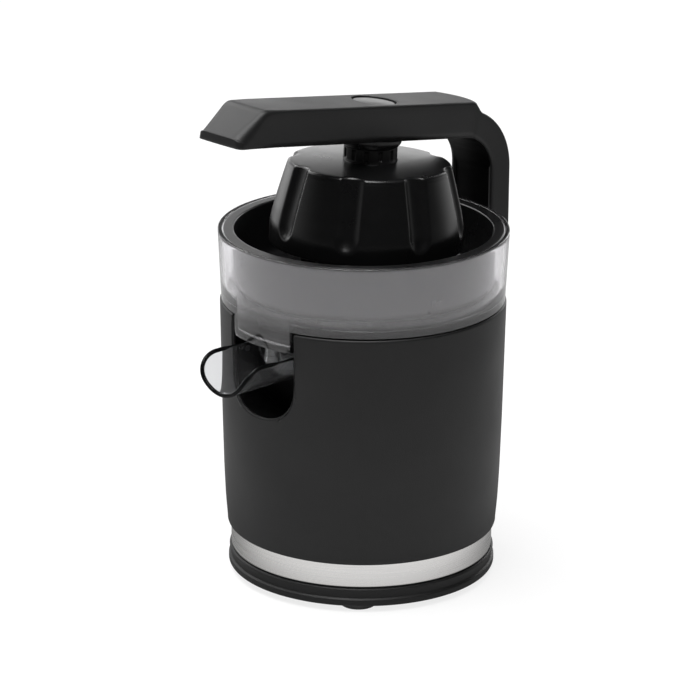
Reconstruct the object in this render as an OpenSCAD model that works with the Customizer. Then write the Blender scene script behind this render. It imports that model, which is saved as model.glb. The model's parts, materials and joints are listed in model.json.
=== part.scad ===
// Citrus press juicer with a hinged press arm.
// Millimetres. +Z up, spout and arm nose towards -Y, hinge towards +Y.
// The table is z = 0 and the origin is the middle of the footprint's bounding box.

/* [Body] */
// Radius of the body shell at its top edge
body_r = 79; // [77.5:0.5:80.5]
// Radius of the body shell at its lower edge
body_low_r = 75; // [74.5:0.5:76]
// Height of the shell's top edge above the table
shell_top = 157.5; // [155:0.5:165]
// Height of the shell's lower edge above the table
shell_low = 28.6; // [27:0.2:31]
// Thickness of the moulded housing walls
wall = 2.4; // [2.1:0.1:2.7]
// Height of the rubber feet below the base
foot_h = 3.4; // [2.6:0.2:4.4]
// Height of the base plinth above its underside
plinth_h = 10.9; // [10:0.1:12]
// Half width of the spout notch in the shell
notch_hw = 24.5; // [23.5:0.5:26]
// Height of the bottom of the spout notch
notch_low = 105.7; // [102:0.1:108]

/* [Bowl and basket] */
// Height of the clear juice bowl above the shell
bowl_h = 39.9; // [38:0.1:44]
// Wall of the clear mouldings
clear_wall = 2.4; // [2:0.1:2.6]
// Gap between the clear wall and the filter basket
basket_gap = 6.1; // [5:0.1:7.5]
// Number of strainer slots in the basket floor
slot_count = 36; // [24:4:44]

/* [Reamer] */
// Radius of the reamer cone at its foot
reamer_r = 34; // [31:0.5:36]
// Number of ribs on the reamer cone
rib_count = 10; // [6:2:12]

/* [Press dome] */
// Radius of the dome at its top edge
dome_top_r = 44.8; // [43.5:0.1:46]
// Radius of the dome at its lower rim
dome_low_r = 53.4; // [52:0.1:54]
// Wall of the dome
dome_wall = 2.4; // [2:0.1:2.8]
// Lean of the dome axis towards the hinge
dome_tilt = 3.2; // [2:0.1:4]
// Number of flutes round the dome
flute_count = 8; // [6:1:8]
// Depth of the flutes
flute_depth = 5.4; // [4.4:0.1:6]

/* [Arm] */
// Width of the arm
arm_w = 33.7; // [32:0.1:38]
// Thickness of the arm body below its top cover
arm_t = 15.5; // [14.5:0.1:17]
// Thickness of the arm top cover
cover_t = 4.6; // [4.2:0.1:5.4]
// Rise of the arm towards its nose, in degrees
arm_tilt = 8.3; // [7.5:0.1:9]
// Reach of the arm nose in front of the drive axis, along the arm
nose_len = 107.4; // [102:0.2:110]
// Gap between the body shell and the inner face of the leg
leg_gap = 4.4; // [4:0.1:7]

/* [Controls] */
// Radius of the release button
button_r = 12.1; // [10:0.1:12.5]
// Travel of the release button
button_travel = 2.4; // [1.5:0.1:2.6]

/* [Hidden] */
$fn = 96;
e = 0.01;
run = 0.06;                        // radial clearance of a running fit
seat = 0.05;                       // radial clearance of a fixed spigot
snap = 0.15;                       // radial clearance of a snap-in moulding
gland_r = 5;

// ---- heights
plinth_top = foot_h + plinth_h;
ledge_z = shell_top - 7.5;         // underside of the deck
deck_z = shell_top - 4.5;          // top of the deck
bowl_top = shell_top + bowl_h;
floor_z = shell_top + 0.4;         // underside of the bowl floor
basket_low = shell_top + 6;
flange_z = bowl_top - 2.2;
hinge_z = bowl_top - 30.4;
dome_z = bowl_top + 35.4;
arm_z = bowl_top + 50.95;
leg_low = hinge_z + 11;
// ---- radii
bowl_r = body_r + 1;
basket_r = bowl_r - clear_wall - basket_gap;
bowl_foot_r = body_r - 0.7;
skirt_r = body_r - wall - 0.7;
band_r = body_low_r - 1.9;
band_t = 0.7;
spigot_r = band_r - band_t - seat;
base_r = body_low_r - 2.8;
foot_r = 10;
foot_ring = base_r - foot_r - 0.8;
post_ring = base_r - 11.1;
post_x = post_ring * cos(21.1);
post_y = post_ring * sin(21.1);
// ---- arm
leg_in = body_r + leg_gap;
arm_hw = arm_w / 2;
skin = 2.4;
ri = 27.4;
ro = arm_t + 22.5;
leg_out = leg_in + arm_t - 1.5;
yci = leg_in - ri;
zci = arm_z + (-ri - yci * sin(arm_tilt)) / cos(arm_tilt);
yco = leg_out - ro;
zco = arm_z + (arm_t - 0.04 - ro - yco * sin(arm_tilt)) / cos(arm_tilt);
sci = yci * cos(arm_tilt) - (zci - arm_z) * sin(arm_tilt);
sco = yco * cos(arm_tilt) - (zco - arm_z) * sin(arm_tilt);
arm_top = arm_t + cover_t;
hinge_y = leg_in + 4.1;
pin_r = 2.5;
dome_y = 4.2;
dome_h = 45;
button_s = 4.1;
// ---- placing: the footprint is centred on y
nose_y = nose_len * cos(arm_tilt);
drive_y = (nose_y - leg_out) / 2;
// ---- drive
mod_g = 1;
out_n = 60; pin_n = 12; idl_n = 48;
motor_y = 28;
idl_d = mod_g * (out_n + pin_n) / 2;
mot_d = mod_g * (idl_n + pin_n) / 2;
idl_y = (idl_d * idl_d - mot_d * mot_d + motor_y * motor_y) / (2 * motor_y);
idl_x = -sqrt(idl_d * idl_d - idl_y * idl_y);
plate_z = ledge_z - 36;            // underside of the gear plate
plate_t = 3;
low_z = plate_z + plate_t + 2;     // first gear stage
low_h = 6;
up_z = low_z + low_h + 3;          // second gear stage
up_h = 7;
lid_z = up_z + up_h + 4;
spin_r = 4;
press_travel = 2;
// ---- spout
sp_r = notch_hw - 4.7;
sp_z = shell_top - 14.1;
sp_top = shell_top - 15.7;
sp_low = sp_z - sp_r;
sp_front = body_r + 25.7;
sp_back = body_r - 19;
sp_wall = 1.8;
piv_y = body_r - 10.6;
piv_z = sp_top - 4;
piv_r = 1.8;
sump_hw = notch_hw - 2.3;
sump_low = shell_top - 11.5;
pocket_y = body_r - 25;
far = body_r + 11;                 // clear of the shell in front
// ---- hinge bracket
brk_hw = 13;
brk_y = body_r - 18;
brk_t = 8.3;                       // clears the gear lid below
brk_screw = body_r - 13;

// ------------------------------------------------------------------ helpers
module at_drive() translate([0, drive_y, 0]) children();
module side(w) rotate([90, 0, 90]) linear_extrude(height = w, center = true) children();
module arm2d() translate([0, arm_z]) rotate(-arm_tilt) children();
module arm3d() translate([0, 0, arm_z]) rotate([-arm_tilt, 0, 0]) children();
module dome3d() translate([0, dome_y, dome_z]) rotate([-dome_tilt, 0, 0]) children();
module ring(ro_, ri_, h) difference() { cylinder(r = ro_, h = h); translate([0, 0, -1]) cylinder(r = ri_, h = h + 2); }

function shell_pts(d) = [
    [body_low_r - d, shell_low], [body_low_r + 0.5 - d, shell_low + 5],
    [body_low_r + 1.2 - d, shell_low + 13.4], [body_low_r + 2 - d, shell_low + 31.4],
    [body_r - 1.2 - d, shell_low + 61.4], [body_r - d, shell_top]];

function shell_in(z) = lookup(z, [for (p = shell_pts(wall)) [p[1], p[0]]]);

// U outline of the notch, bottom at zb, drawn in x-z
module u2d(hw, r, zb, zt) {
    translate([-hw, zb + r]) square([2 * hw, zt - zb - r]);
    translate([-(hw - r), zb]) square([2 * (hw - r), r + 1]);
    for (s = [-1, 1]) translate([s * (hw - r), zb + r]) circle(r = r);
}
module to_front(y0, y1) translate([0, -y0, 0]) rotate([90, 0, 0]) linear_extrude(height = y1 - y0) children();

// straight-flanked gear outline with backlash and tip clearance
module gear2d(n, ph = 0) {
    rp = mod_g * n / 2; a = 360 / n;
    polygon([for (i = [0:n - 1], k = [0:3])
        let (t = ph + i * a + a * [-0.27, -0.11, 0.11, 0.27][k],
             r = (k == 0 || k == 3) ? rp - 1.15 * mod_g : rp + 0.85 * mod_g)
        [r * cos(t), r * sin(t)]]);
}

// ------------------------------------------------------------------ base
module feet() color("dimgray") at_drive() for (a = [45:90:315]) rotate(a) translate([foot_ring, 0, 0]) {
    rotate_extrude() difference() {
        union() { square([foot_r - 1, foot_h]); translate([0, 1]) square([foot_r, foot_h - 1]);
            translate([foot_r - 1, 1]) circle(r = 1); }
        translate([foot_r - 3.4, -1]) square([1, 1.6]);
        translate([-2, -1]) square([2, foot_h + 2]);
    }
    translate([0, 0, foot_h - e]) cylinder(r = 3, h = 2.6 + e);
}
module base_plate() color("black") at_drive() difference() {
    union() {
        translate([0, 0, foot_h]) cylinder(r = base_r, h = 2.6);
        for (s = [-1, 1], t = [-1, 1]) translate([s * post_x, t * post_y, foot_h]) cylinder(r = 6.5, h = 5);
    }
    for (a = [45:90:315]) rotate(a) translate([foot_ring, 0, foot_h - 1]) cylinder(r = 3, h = 6);
    for (s = [-1, 1], t = [-1, 1]) translate([s * post_x, t * post_y, 0]) {
        cylinder(r = 1.8, h = 20); translate([0, 0, foot_h - 1]) cylinder(r = 3.4, h = 3.2);
    }
    for (i = [-4:4]) translate([-16, motor_y - 1.2 + i * 5, foot_h - 1]) cube([32, 2.4, 5]);
}
module base_screws() color("silver") at_drive() for (s = [-1, 1], t = [-1, 1])
    translate([s * post_x, t * post_y, foot_h + 0.2]) difference() {
        union() { cylinder(r = 3.2, h = 2); translate([0, 0, 1]) cylinder(r = 1.7, h = 14); }
        translate([-0.6, -2.2, -1]) cube([1.2, 4.4, 2]); translate([-2.2, -0.6, -1]) cube([4.4, 1.2, 2]);
    }
module base_plinth() color("black") at_drive() rotate_extrude($fn = 180) polygon([
    [base_r + seat, foot_h], [body_low_r - 0.9, foot_h], [body_low_r - 0.4, foot_h + 0.7],
    [body_low_r - 0.4, foot_h + 3.9], [body_low_r - 0.9, foot_h + 4.6], [body_low_r - 1.1, foot_h + 7.4],
    [band_r + 0.1, plinth_top - 0.4], [band_r - 0.2, plinth_top], [spigot_r, plinth_top], [spigot_r, shell_low + 2.4],
    [spigot_r - 2.2, shell_low + 2.4], [spigot_r - 2.2, foot_h + 8], [base_r - 3, foot_h + 6],
    [base_r - 3, foot_h + 2.6], [base_r + seat, foot_h + 2.6]]);
module steel_band() color("silver") at_drive() translate([0, 0, plinth_top])
    ring(band_r, band_r - band_t, shell_low - plinth_top, $fn = 180);

// ------------------------------------------------------------------ body
module shell_solid(d, z0, z1) rotate_extrude($fn = 180) difference() {
    polygon(concat([[0, shell_low]], shell_pts(d), [[0, shell_top]]));
    translate([0, shell_low - 1]) square([100, z0 - shell_low + 1]);
    translate([0, z1]) square([100, shell_top - z1 + 1]);
}
module body_shell() color("black") at_drive() difference() {
    rotate_extrude($fn = 180) polygon(concat(
        shell_pts(0), [[body_r - wall - 0.4, shell_top], [body_r - wall - 0.4, ledge_z], [body_r - wall - 3.6, ledge_z],
        [body_r - wall - 3.6, ledge_z - 2.4], [shell_in(ledge_z - 5.4), ledge_z - 5.4]],
        [for (i = [4:-1:0]) [shell_pts(wall)[i][0], shell_pts(wall)[i][1]]]));
    to_front(0, far) u2d(notch_hw, notch_hw - 6.5, notch_low, shell_top + 5);
    translate([-brk_hw - 0.1, brk_y - 1, ledge_z - brk_t - 0.05]) cube([2 * brk_hw + 0.2, 30, brk_t + 0.1]);
    translate([0, body_low_r - 15, shell_low + 13.4]) rotate([-90, 0, 0]) cylinder(r = gland_r, h = 30);
}
module spout_recess() color("black") at_drive() difference() {
    intersection() {
        to_front(pocket_y, far) u2d(notch_hw + 2, notch_hw - 4.5, notch_low - 2, ledge_z);
        shell_solid(wall + seat, shell_low + 1, ledge_z);
    }
    to_front(pocket_y + 2, far + 5) u2d(notch_hw, notch_hw - 6.5, notch_low, shell_top + 5);
    for (s = [-1, 1]) translate([s * (notch_hw + 1), -piv_y, piv_z]) rotate([0, 90, 0])
        cylinder(r = piv_r + run, h = 4, center = true, $fn = 48);
    translate([0, 0, ledge_z - 5.6]) ring(100, body_r - wall - 3.8, 10);
}
module top_deck() color("black") at_drive() difference() {
    union() {
        translate([0, 0, ledge_z]) cylinder(r = body_r - wall - 0.5, h = 3, $fn = 180);
        translate([0, 0, ledge_z]) cylinder(r = 9.5, h = 21);
        translate([0, 0, ledge_z - 4]) cylinder(r = 11, h = 5);
    }
    translate([0, 0, ledge_z - 5]) cylinder(r = spin_r + 1, h = 40);
    translate([0, 0, ledge_z + 9]) cylinder(r = 7, h = 20);
    translate([-sump_hw - 0.8, -far, ledge_z - 5]) cube([2 * sump_hw + 1.6, far - pocket_y - 3.4, 20]);
    for (s = [-1, 1]) translate([s * 8, brk_screw, ledge_z - 1]) { cylinder(r = 1.6, h = 5); translate([0, 0, 2.4]) cylinder(r = 3.1, h = 5); }
}
module spindle_bush() color("goldenrod") at_drive() translate([0, 0, ledge_z + 9]) ring(7, spin_r + run, 12);
module chassis_posts() color("gray") at_drive() for (s = [-1, 1], t = [-1, 1])
    translate([s * post_x, t * post_y, foot_h + 5]) difference() {
        cylinder(r = 5, h = plate_z - foot_h - 5);
        translate([0, 0, -1]) cylinder(r = 1.7, h = 12);
    }
module gear_plate() color("darkgray") at_drive() difference() {
    union() {
        translate([0, 0, plate_z]) cylinder(r = body_low_r - 9, h = plate_t);
        translate([0, 0, plate_z]) cylinder(r = 8, h = plate_t + 1.5);
        translate([0, motor_y, plate_z]) cylinder(r = 7, h = plate_t + 1);
    }
    translate([-100, -100 - pocket_y + 4, plate_z - 1]) cube([200, 100, 10]);
    translate([0, 0, plate_z - 1]) cylinder(r = spin_r + run, h = 10);
    translate([0, motor_y, plate_z - 1]) cylinder(r = 3 + run, h = 10);
    translate([idl_x, idl_y, plate_z - 1]) cylinder(r = 2, h = 10);
}
module gear_lid() color("dimgray") at_drive() difference() {
    union() {
        translate([-10, 8, plate_z + plate_t]) cylinder(r = 53, h = lid_z + 2.4 - plate_z - plate_t);
        translate([idl_x, idl_y, lid_z]) cylinder(r = 6, h = 4);
    }
    translate([-10, 8, plate_z + plate_t - 1]) cylinder(r = 51, h = lid_z - plate_z - plate_t + 1);
    translate([0, 0, lid_z - 1]) cylinder(r = 8, h = 10);
    translate([idl_x, idl_y, lid_z - 1]) cylinder(r = 2, h = 3.4);
}

// ------------------------------------------------------------------ drive
stack_z = plate_z - 50;
module motor_stator() color("slategray") at_drive() translate([0, motor_y, stack_z]) difference() {
    union() {
        translate([-26, -26, 0]) cube([52, 52, 28]);
        for (i = [0:3]) translate([-26.6, -26.6, 3 + i * 6.5]) cube([53.2, 53.2, 3]);
    }
    translate([0, 0, -1]) cylinder(r = 15, h = 40);
    for (s = [-1, 1]) translate([s * 18 - 5, -17, -1]) cube([10, 34, 40]);
    for (s = [-1, 1], t = [-1, 1]) translate([s * 22.5, t * 22.5, -1]) cylinder(r = 2, h = 40);
}
module motor_coils() color("peru") at_drive() translate([0, motor_y, stack_z]) for (s = [-1, 1])
    translate([s * 18, 0, 14]) difference() {
        cube([9.8, 33.8, 38], center = true);
        cube([12, 20, 28.2], center = true);
    }
module motor_bridges() color("silver") at_drive() translate([0, motor_y, stack_z]) for (b = [0, 1])
    translate([0, 0, b * 44 - 10]) difference() {
        union() {
            translate([-27, -7, b * 1.5]) cube([54, 14, 1.5]);
            cylinder(r = 8, h = 3);
            for (s = [-1, 1], t = [-1, 1]) translate([s * 22.5, t * 22.5, b ? -6 : 0]) cylinder(r = 4, h = b ? 9 : 10);
            for (s = [-1, 1]) translate([s * 22.5 - 3.5, -26, b * 1.5]) cube([7, 52, 1.5]);
        }
        translate([0, 0, -1]) cylinder(r = 3 + run, h = 6);
    }
module motor_dampers() color("black") at_drive() for (s = [-1, 1], t = [-1, 1])
    translate([s * 22.5, motor_y + t * 22.5, stack_z + 37]) cylinder(r = 4.5, h = plate_z - stack_z - 37);
module motor_rotor() color("gray") at_drive() translate([0, motor_y, stack_z]) {
    difference() { cylinder(r = 14.4, h = 28);
        for (i = [0:15]) rotate(i * 22.5) translate([14.6, 0, -1]) cylinder(r = 0.8, h = 30, $fn = 16); }
    translate([0, 0, -22]) cylinder(r = 3, h = plate_z + plate_t + 1 - stack_z + 22 + low_h + 1.5, $fn = 48);
}
module motor_pinion() color("goldenrod") at_drive() translate([0, motor_y, low_z - 0.5]) difference() {
    linear_extrude(height = low_h + 1) gear2d(pin_n, mot_ph);
    translate([0, 0, -1]) cylinder(r = 3, h = 20);
}
mot_dir = atan2(motor_y - idl_y, -idl_x);      // from the idler towards the motor
idl_dir = atan2(-idl_y, -idl_x);               // from the idler towards the drive axis
mot_ph = mot_dir + 180 + 180 / pin_n;
idl_ph = mot_dir;
sml_ph = idl_dir;
out_ph = idl_dir + 180 + 180 / out_n;
module cooling_fan() color("dimgray") at_drive() translate([0, motor_y, stack_z - 20]) difference() {
    union() {
        cylinder(r = 7, h = 7); cylinder(r = 23, h = 1.4);
        for (i = [0:7]) rotate(i * 45) translate([5, -0.8, 0]) cube([18, 1.6, 7]);
    }
    translate([0, 0, -1]) cylinder(r = 3, h = 10);
}
module idler_gear() color("ivory") at_drive() translate([idl_x, idl_y, 0]) difference() {
    union() {
        translate([0, 0, low_z]) linear_extrude(height = low_h) gear2d(idl_n, idl_ph);
        translate([0, 0, low_z - 1]) cylinder(r = 4.6, h = low_h + 2);
        translate([0, 0, low_z + low_h]) linear_extrude(height = up_z + up_h + 1 - low_z - low_h) gear2d(pin_n, sml_ph);
    }
    translate([0, 0, low_z - 3]) cylinder(r = 2 + run, h = 40);
    translate([0, 0, low_z + 4]) ring(20, 8, 4);
    for (i = [0:4]) rotate(i * 72) translate([14, 0, low_z - 1]) cylinder(r = 3.6, h = 10);
}
module idler_axle() color("silver") at_drive() translate([idl_x, idl_y, plate_z]) cylinder(r = 2, h = lid_z + 2.4 - plate_z, $fn = 48);
module output_gear() color("ivory") at_drive() difference() {
    union() {
        translate([0, 0, up_z]) linear_extrude(height = up_h) gear2d(out_n, out_ph);
        translate([0, 0, up_z - 3.4]) cylinder(r = 8, h = up_h + 5);
    }
    translate([0, 0, up_z - 5]) cylinder(r = spin_r, h = 30);
    translate([0, 0, up_z + 4]) ring(26, 11, 5);
    for (i = [0:5]) rotate(i * 60) translate([18, 0, up_z - 1]) cylinder(r = 5, h = 12);
}
module drive_spindle() color("silver") at_drive() {
    translate([0, 0, plate_z - 2]) cylinder(r = spin_r, h = ledge_z + 24 - plate_z + 2, $fn = 64);
    translate([0, 0, ledge_z + 22]) cylinder(r = spin_r - 0.1, h = 34, $fn = 6);
}
module thrust_cup() color("gray") at_drive() translate([0, 0, plate_z - 5]) difference() {
    cylinder(r = 6.5, h = 3);
    translate([0, 0, -1]) cylinder(r = 3.4, h = 1.8);
}
module coil(r, w, n, p) rotate_extrude($fn = 48) for (i = [0:n - 1]) translate([r, w + i * p]) circle(r = w, $fn = 16);
module return_spring() color("silver") at_drive() translate([0, 0, plate_z - 9.9]) coil(5.2, 0.6, 5, 0.92);
module start_switch() color("black") at_drive() difference() {
    union() {
        translate([-10, -7, plate_z - 16]) cube([20, 14, 6.1]);
        translate([-10, -7, plate_z - 10.1]) cube([3, 14, 10.1]); translate([7, -7, plate_z - 10.1]) cube([3, 14, 10.1]);
        translate([0, 0, plate_z - 10.5]) cylinder(r = 1.6, h = 2.9);
    }
    for (s = [-1, 1]) translate([s * 6, 0, plate_z - 20]) cylinder(r = 1.2, h = 9);
}

// ------------------------------------------------------------------ bowl, basket, reamer, spout
module juice_bowl() color("lightcyan", 0.5) at_drive() difference() {
    union() {
        rotate_extrude($fn = 180) difference() {
            union() {
                polygon([[10.5, floor_z], [bowl_foot_r, floor_z], [bowl_r, bowl_top - 2], [bowl_r, bowl_top - 0.6],
                    [bowl_r - 0.6, bowl_top], [10.5, bowl_top]]);
                translate([skirt_r - 1.8, deck_z]) square([1.8, 6]);
                translate([body_r - wall, shell_top]) square([bowl_foot_r - body_r + wall, 1]);
            }
            // inside of the bowl with a round foot
            difference() {
                polygon([[12.6, floor_z + 2], [bowl_foot_r - clear_wall - 6, floor_z + 2], [bowl_foot_r - clear_wall, floor_z + 8],
                    [bowl_r - clear_wall, flange_z - 2.6], [bowl_r - clear_wall - 1.5, flange_z - 0.9],
                    [bowl_r - clear_wall - 1.5, flange_z], [bowl_r - clear_wall - 0.1, flange_z],
                    [bowl_r - clear_wall - 0.1, bowl_top + 1], [12.6, bowl_top + 1]]);
                difference() {
                    translate([bowl_foot_r - clear_wall - 7, floor_z]) square([8, 9]);
                    translate([bowl_foot_r - clear_wall - 6.2, floor_z + 8.4]) circle(r = 6.4);
                    translate([0, floor_z + 8]) square([100, 9]);
                }
            }
            translate([9, floor_z + 17.6]) square([4, 60]);
        }
        // outlet sump hanging in the notch
        intersection() {
            translate([-sump_hw, -far, sump_low]) cube([2 * sump_hw, far - pocket_y - 4.6, floor_z + 1 - sump_low]);
            translate([0, 0, sump_low - 1]) cylinder(r = bowl_foot_r, h = 40, $fn = 180);
        }
    }
    intersection() {
        translate([-sump_hw + 1.8, -far, sump_low + 1.8]) cube([2 * sump_hw - 3.6, far - pocket_y - 6.4, floor_z + 4 - sump_low]);
        translate([0, 0, sump_low - 1]) cylinder(r = bowl_foot_r - 2.2, h = 40, $fn = 180);
    }
    translate([0, -body_r + 12.5, sump_low - 1]) cylinder(r = 5, h = 6, $fn = 48);
}
module filter_basket() color("black") at_drive() {
    cr = 8;
    difference() {
        rotate_extrude($fn = 180) difference() {
            union() {
                translate([0, basket_low]) square([basket_r - cr, 12]);
                translate([basket_r - cr, basket_low + cr]) circle(r = cr);
                translate([0, basket_low + cr]) square([basket_r, flange_z - basket_low - cr + 2]);
                translate([0, flange_z]) square([bowl_r - clear_wall - 0.4, 1.8]);
                translate([0, flange_z]) square([bowl_r - clear_wall - 0.9, 2.1]);
            }
            translate([13.4, 0]) square([-13.4 - 1, 400]);
            translate([-1, 0]) square([14.4, 400]);
            difference() {
                union() {
                    translate([0, basket_low + 2]) square([basket_r - cr, 12]);
                    translate([basket_r - cr, basket_low + cr]) circle(r = cr - 2);
                    translate([0, basket_low + cr]) square([basket_r - 2, 80]);
                }
                translate([0, 0]) square([15.2, basket_low + 8.5]);
            }
        }
        for (i = [0:slot_count - 1]) rotate(i * 360 / slot_count) translate([(i % 2) ? 30 : 24, -1, basket_low - 1])
            cube([(i % 2) ? 29 : 35, 2, 5]);
    }
    // locating rib inside the wall at the front
    translate([-0.9, -basket_r + 1, basket_low + 6]) cube([1.8, 2.4, flange_z - basket_low - 5]);
}
rm_z = shell_top + 15.5;           // foot of the reamer
function cone_pts(d) = [[reamer_r + 2.6, rm_z], [reamer_r + 2.6, rm_z + 1.6], [reamer_r + d * 0.4, rm_z + 3.4],
    [reamer_r - 2 + d, rm_z + 10], [reamer_r - 6.6 + d, rm_z + 21], [reamer_r - 13 + d, rm_z + 32],
    [reamer_r - 20.5 + d, rm_z + 41.5], [reamer_r - 28 + d, rm_z + 48], [2.4, rm_z + 50 + d * 0.6], [0, rm_z + 50.4 + d * 0.6]];
module reamer() color("black") at_drive() difference() {
    union() {
        rotate_extrude() polygon(concat([[0, rm_z]], cone_pts(0)));
        intersection() {
            rotate_extrude() polygon(concat([[0, rm_z]], cone_pts(2.4)));
            for (i = [0:rib_count / 2 - 1]) rotate(i * 360 / rib_count) translate([-60, -1.1, rm_z]) cube([120, 2.2, 60]);
        }
    }
    rotate_extrude() polygon([[17, rm_z - 1], [reamer_r, rm_z - 1], [reamer_r - 4.4, rm_z + 10], [reamer_r - 9, rm_z + 21],
        [reamer_r - 16, rm_z + 31], [reamer_r - 24, rm_z + 40], [9.4, rm_z + 40], [9.4, rm_z + 8], [17, rm_z + 8]]);
    translate([0, 0, rm_z - 1]) cylinder(r = 15.4, h = 7);
    translate([0, 0, rm_z - 1]) cylinder(r = spin_r, h = 41, $fn = 6);
}
module spout() color("lightcyan", 0.5) at_drive() {
    intersection() {
        difference() {
            union() {
                translate([0, -sp_back, sp_z]) rotate([90, 0, 0]) cylinder(r = sp_r, h = 50);
            }
            translate([0, -sp_back - sp_wall, sp_z]) rotate([90, 0, 0]) cylinder(r = sp_r - sp_wall, h = 60);
        }
        // side outline with a round front corner
        side(60) union() {
            translate([-sp_front, sp_low - 1]) square([sp_front - sp_back, sp_top - sp_low + 1 - 13]);
            translate([-sp_front + 13, sp_low - 1]) square([sp_front - sp_back - 13, sp_top - sp_low + 1]);
            translate([-sp_front + 13, sp_top - 13]) circle(r = 13);
        }
    }
    for (s = [-1, 1]) translate([s * (sp_r - 1.9), -piv_y, piv_z]) rotate([0, s * 90, 0])
        cylinder(r = piv_r, h = notch_hw + 1.7 - sp_r + 1.9, $fn = 48);
}

// ------------------------------------------------------------------ arm
// arm body of width w, set in from its outer and inner boundary by do and di
module arm_body(w, do, di, front, low) difference() {
    union() {
        side(w) arm2d() polygon(bar_pts(do, di, front));
        side(w) translate([yco, zco]) circle(r = ro - do, $fn = 128);
        side(w) translate([yci, low]) square([leg_out - do - yci, zco - low]);
    }
    side(w + 2) translate([yci, zci]) circle(r = ri + di, $fn = 128);
    side(w + 2) translate([yci - 70, low - 10]) square([70 + ri + di, zci - low + 10]);
    side(w + 2) arm2d() translate([-200, di - 200]) square([200 + sci, 200]);
}
function bar_pts(do, di, front) = do < 1
    ? [[-nose_len, di], [-nose_len + 1, cover_t], [-nose_len + 5.1, cover_t], [-nose_len + 15.4, arm_t],
        [sco, arm_t], [sco + 5, arm_t - 0.6], [sco + 5, di]]
    : [[-front, di], [-front, 2], [-front + 10.5, arm_t - do],
        [sco, arm_t - do], [sco + 5, arm_t - do - 0.6], [sco + 5, di]];
module nose_bow() arm3d() difference() {
    translate([-30, -nose_len - 6, -5]) cube([60, 12, 40]);
    translate([0, -nose_len + 89, -6]) cylinder(r = 89, h = 60, $fn = 360);
}
module arm_shell() color("black") at_drive() difference() {
    arm_body(arm_w, 0, 0, nose_len, leg_low);
    arm_body(arm_w - 2 * skin, skin, -1, nose_len - 6.5, leg_low - 1);
    nose_bow();
    arm3d() translate([0, button_s, 0]) cylinder(r = 3.5 + run, h = 40);
}
screw_s = [-82, -36, 40];
module arm_top_cover() color("black") at_drive() difference() {
    arm3d() difference() {
        rotate([90, 0, 90]) linear_extrude(height = arm_w, center = true) polygon([[-nose_len + 1, cover_t],
            [-nose_len + 1 + (arm_top - cover_t) * 0.94, arm_top], [sco + 3.7, arm_top], [sco + 9.1, arm_t - 1.05],
            [sco + 6, arm_t - 0.44], [sco + 3, arm_t - 0.1], [sco, arm_t], [-nose_len + 15.4, arm_t], [-nose_len + 5.1, cover_t]]);
        // pocket under the skin, with cross ribs left standing
        for (i = [0:5]) translate([-arm_hw + skin, -80 + i * 24, arm_t - 1]) cube([arm_w - 2 * skin, 21.6, cover_t - 1.2]);
        translate([0, button_s, arm_t - 2]) cylinder(r = button_r + 0.5, h = 10);
    }
    nose_bow();
}
module arm_inner_cover() color("black") at_drive() difference() {
    union() {
        difference() {
            arm_body(arm_w - 2 * skin - 0.1, skin + seat, 0.7, nose_len - 6.6, leg_low + 0.2);
            arm_body(arm_w + 2, skin - 0.2, 2.9, nose_len + 20, leg_low - 5);
        }
        // closing web at the foot of the leg
        translate([-arm_hw + skin + seat, leg_in + 2.6, leg_low + 0.2]) cube([arm_w - 2 * skin - 0.1, arm_t - 1.5 - skin - 2.65, 2]);
        for (s = screw_s) arm3d() translate([0, s, 2]) cylinder(r = 3.6, h = arm_t - skin - 2);
    }
    translate([-6.1, leg_in + 2.2, leg_low - 1]) cube([12.2, 5.8, 4]);
    arm3d() translate([0, button_s, -2]) cylinder(r = 12 + seat, h = 8);
    for (s = screw_s) arm3d() translate([0, s, -1]) { cylinder(r = 1.5, h = 12); cylinder(r = 2.8, h = 3.2); }
}
module arm_screws() color("silver") at_drive() for (s = screw_s) arm3d() translate([0, s, 0.9]) difference() {
    union() { cylinder(r = 2.6, h = 1.3); cylinder(r = 1.5, h = 10); }
    translate([-0.5, -1.8, -1]) cube([1, 3.6, 1.7]); translate([-1.8, -0.5, -1]) cube([3.6, 1, 1.7]);
}
module arm_frame() color("silver") at_drive() difference() {
    union() {
        intersection() {
            difference() {
                arm_body(12, skin + 0.8, 2.9, 0, hinge_z);
                arm_body(14, skin, 5.9, 60, hinge_z - 5);
            }
            side(20) translate([yci - 30, 0]) square([100, 400]);
        }
        translate([0, hinge_y, hinge_z]) rotate([0, 90, 0]) cylinder(r = 5, h = 11, center = true);
    }
    translate([0, hinge_y, hinge_z]) rotate([0, 90, 0]) cylinder(r = pin_r + run, h = 30, center = true, $fn = 48);
    arm3d() translate([0, 40, -5]) cylinder(r = 3.8, h = 30);
}
ear_in = 6.1; ear_out = 10;
module hinge_bracket() color("black") at_drive() difference() {
    union() {
        translate([-brk_hw, brk_y, ledge_z - brk_t]) cube([2 * brk_hw, leg_in - brk_y + 1, brk_t]);
        for (s = [-1, 1]) translate([s * (ear_in + ear_out) / 2, 0, 0]) side(ear_out - ear_in) union() {
            translate([body_r + 2, ledge_z - brk_t]) square([hinge_y + 5 - body_r - 2, hinge_z - ledge_z + brk_t]);
            translate([hinge_y, hinge_z]) circle(r = 5);
            translate([body_r + 2, hinge_z - 1]) square([hinge_y - 1.5 - body_r - 2, 10]);
        }
        translate([-ear_out, body_r + 2, ledge_z - brk_t]) cube([2 * ear_out, 3, hinge_z - ledge_z + brk_t - 8]);
        translate([-ear_out, body_r + 2, hinge_z + 5.4]) cube([2 * ear_out, hinge_y - 1.5 - body_r - 2, 3.6]);
    }
    translate([0, hinge_y, hinge_z]) rotate([0, 90, 0]) cylinder(r = pin_r, h = 60, center = true, $fn = 48);
    for (s = [-1, 1]) translate([s * 8, brk_screw, ledge_z - 12]) cylinder(r = 1.5, h = 20);
}
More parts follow.
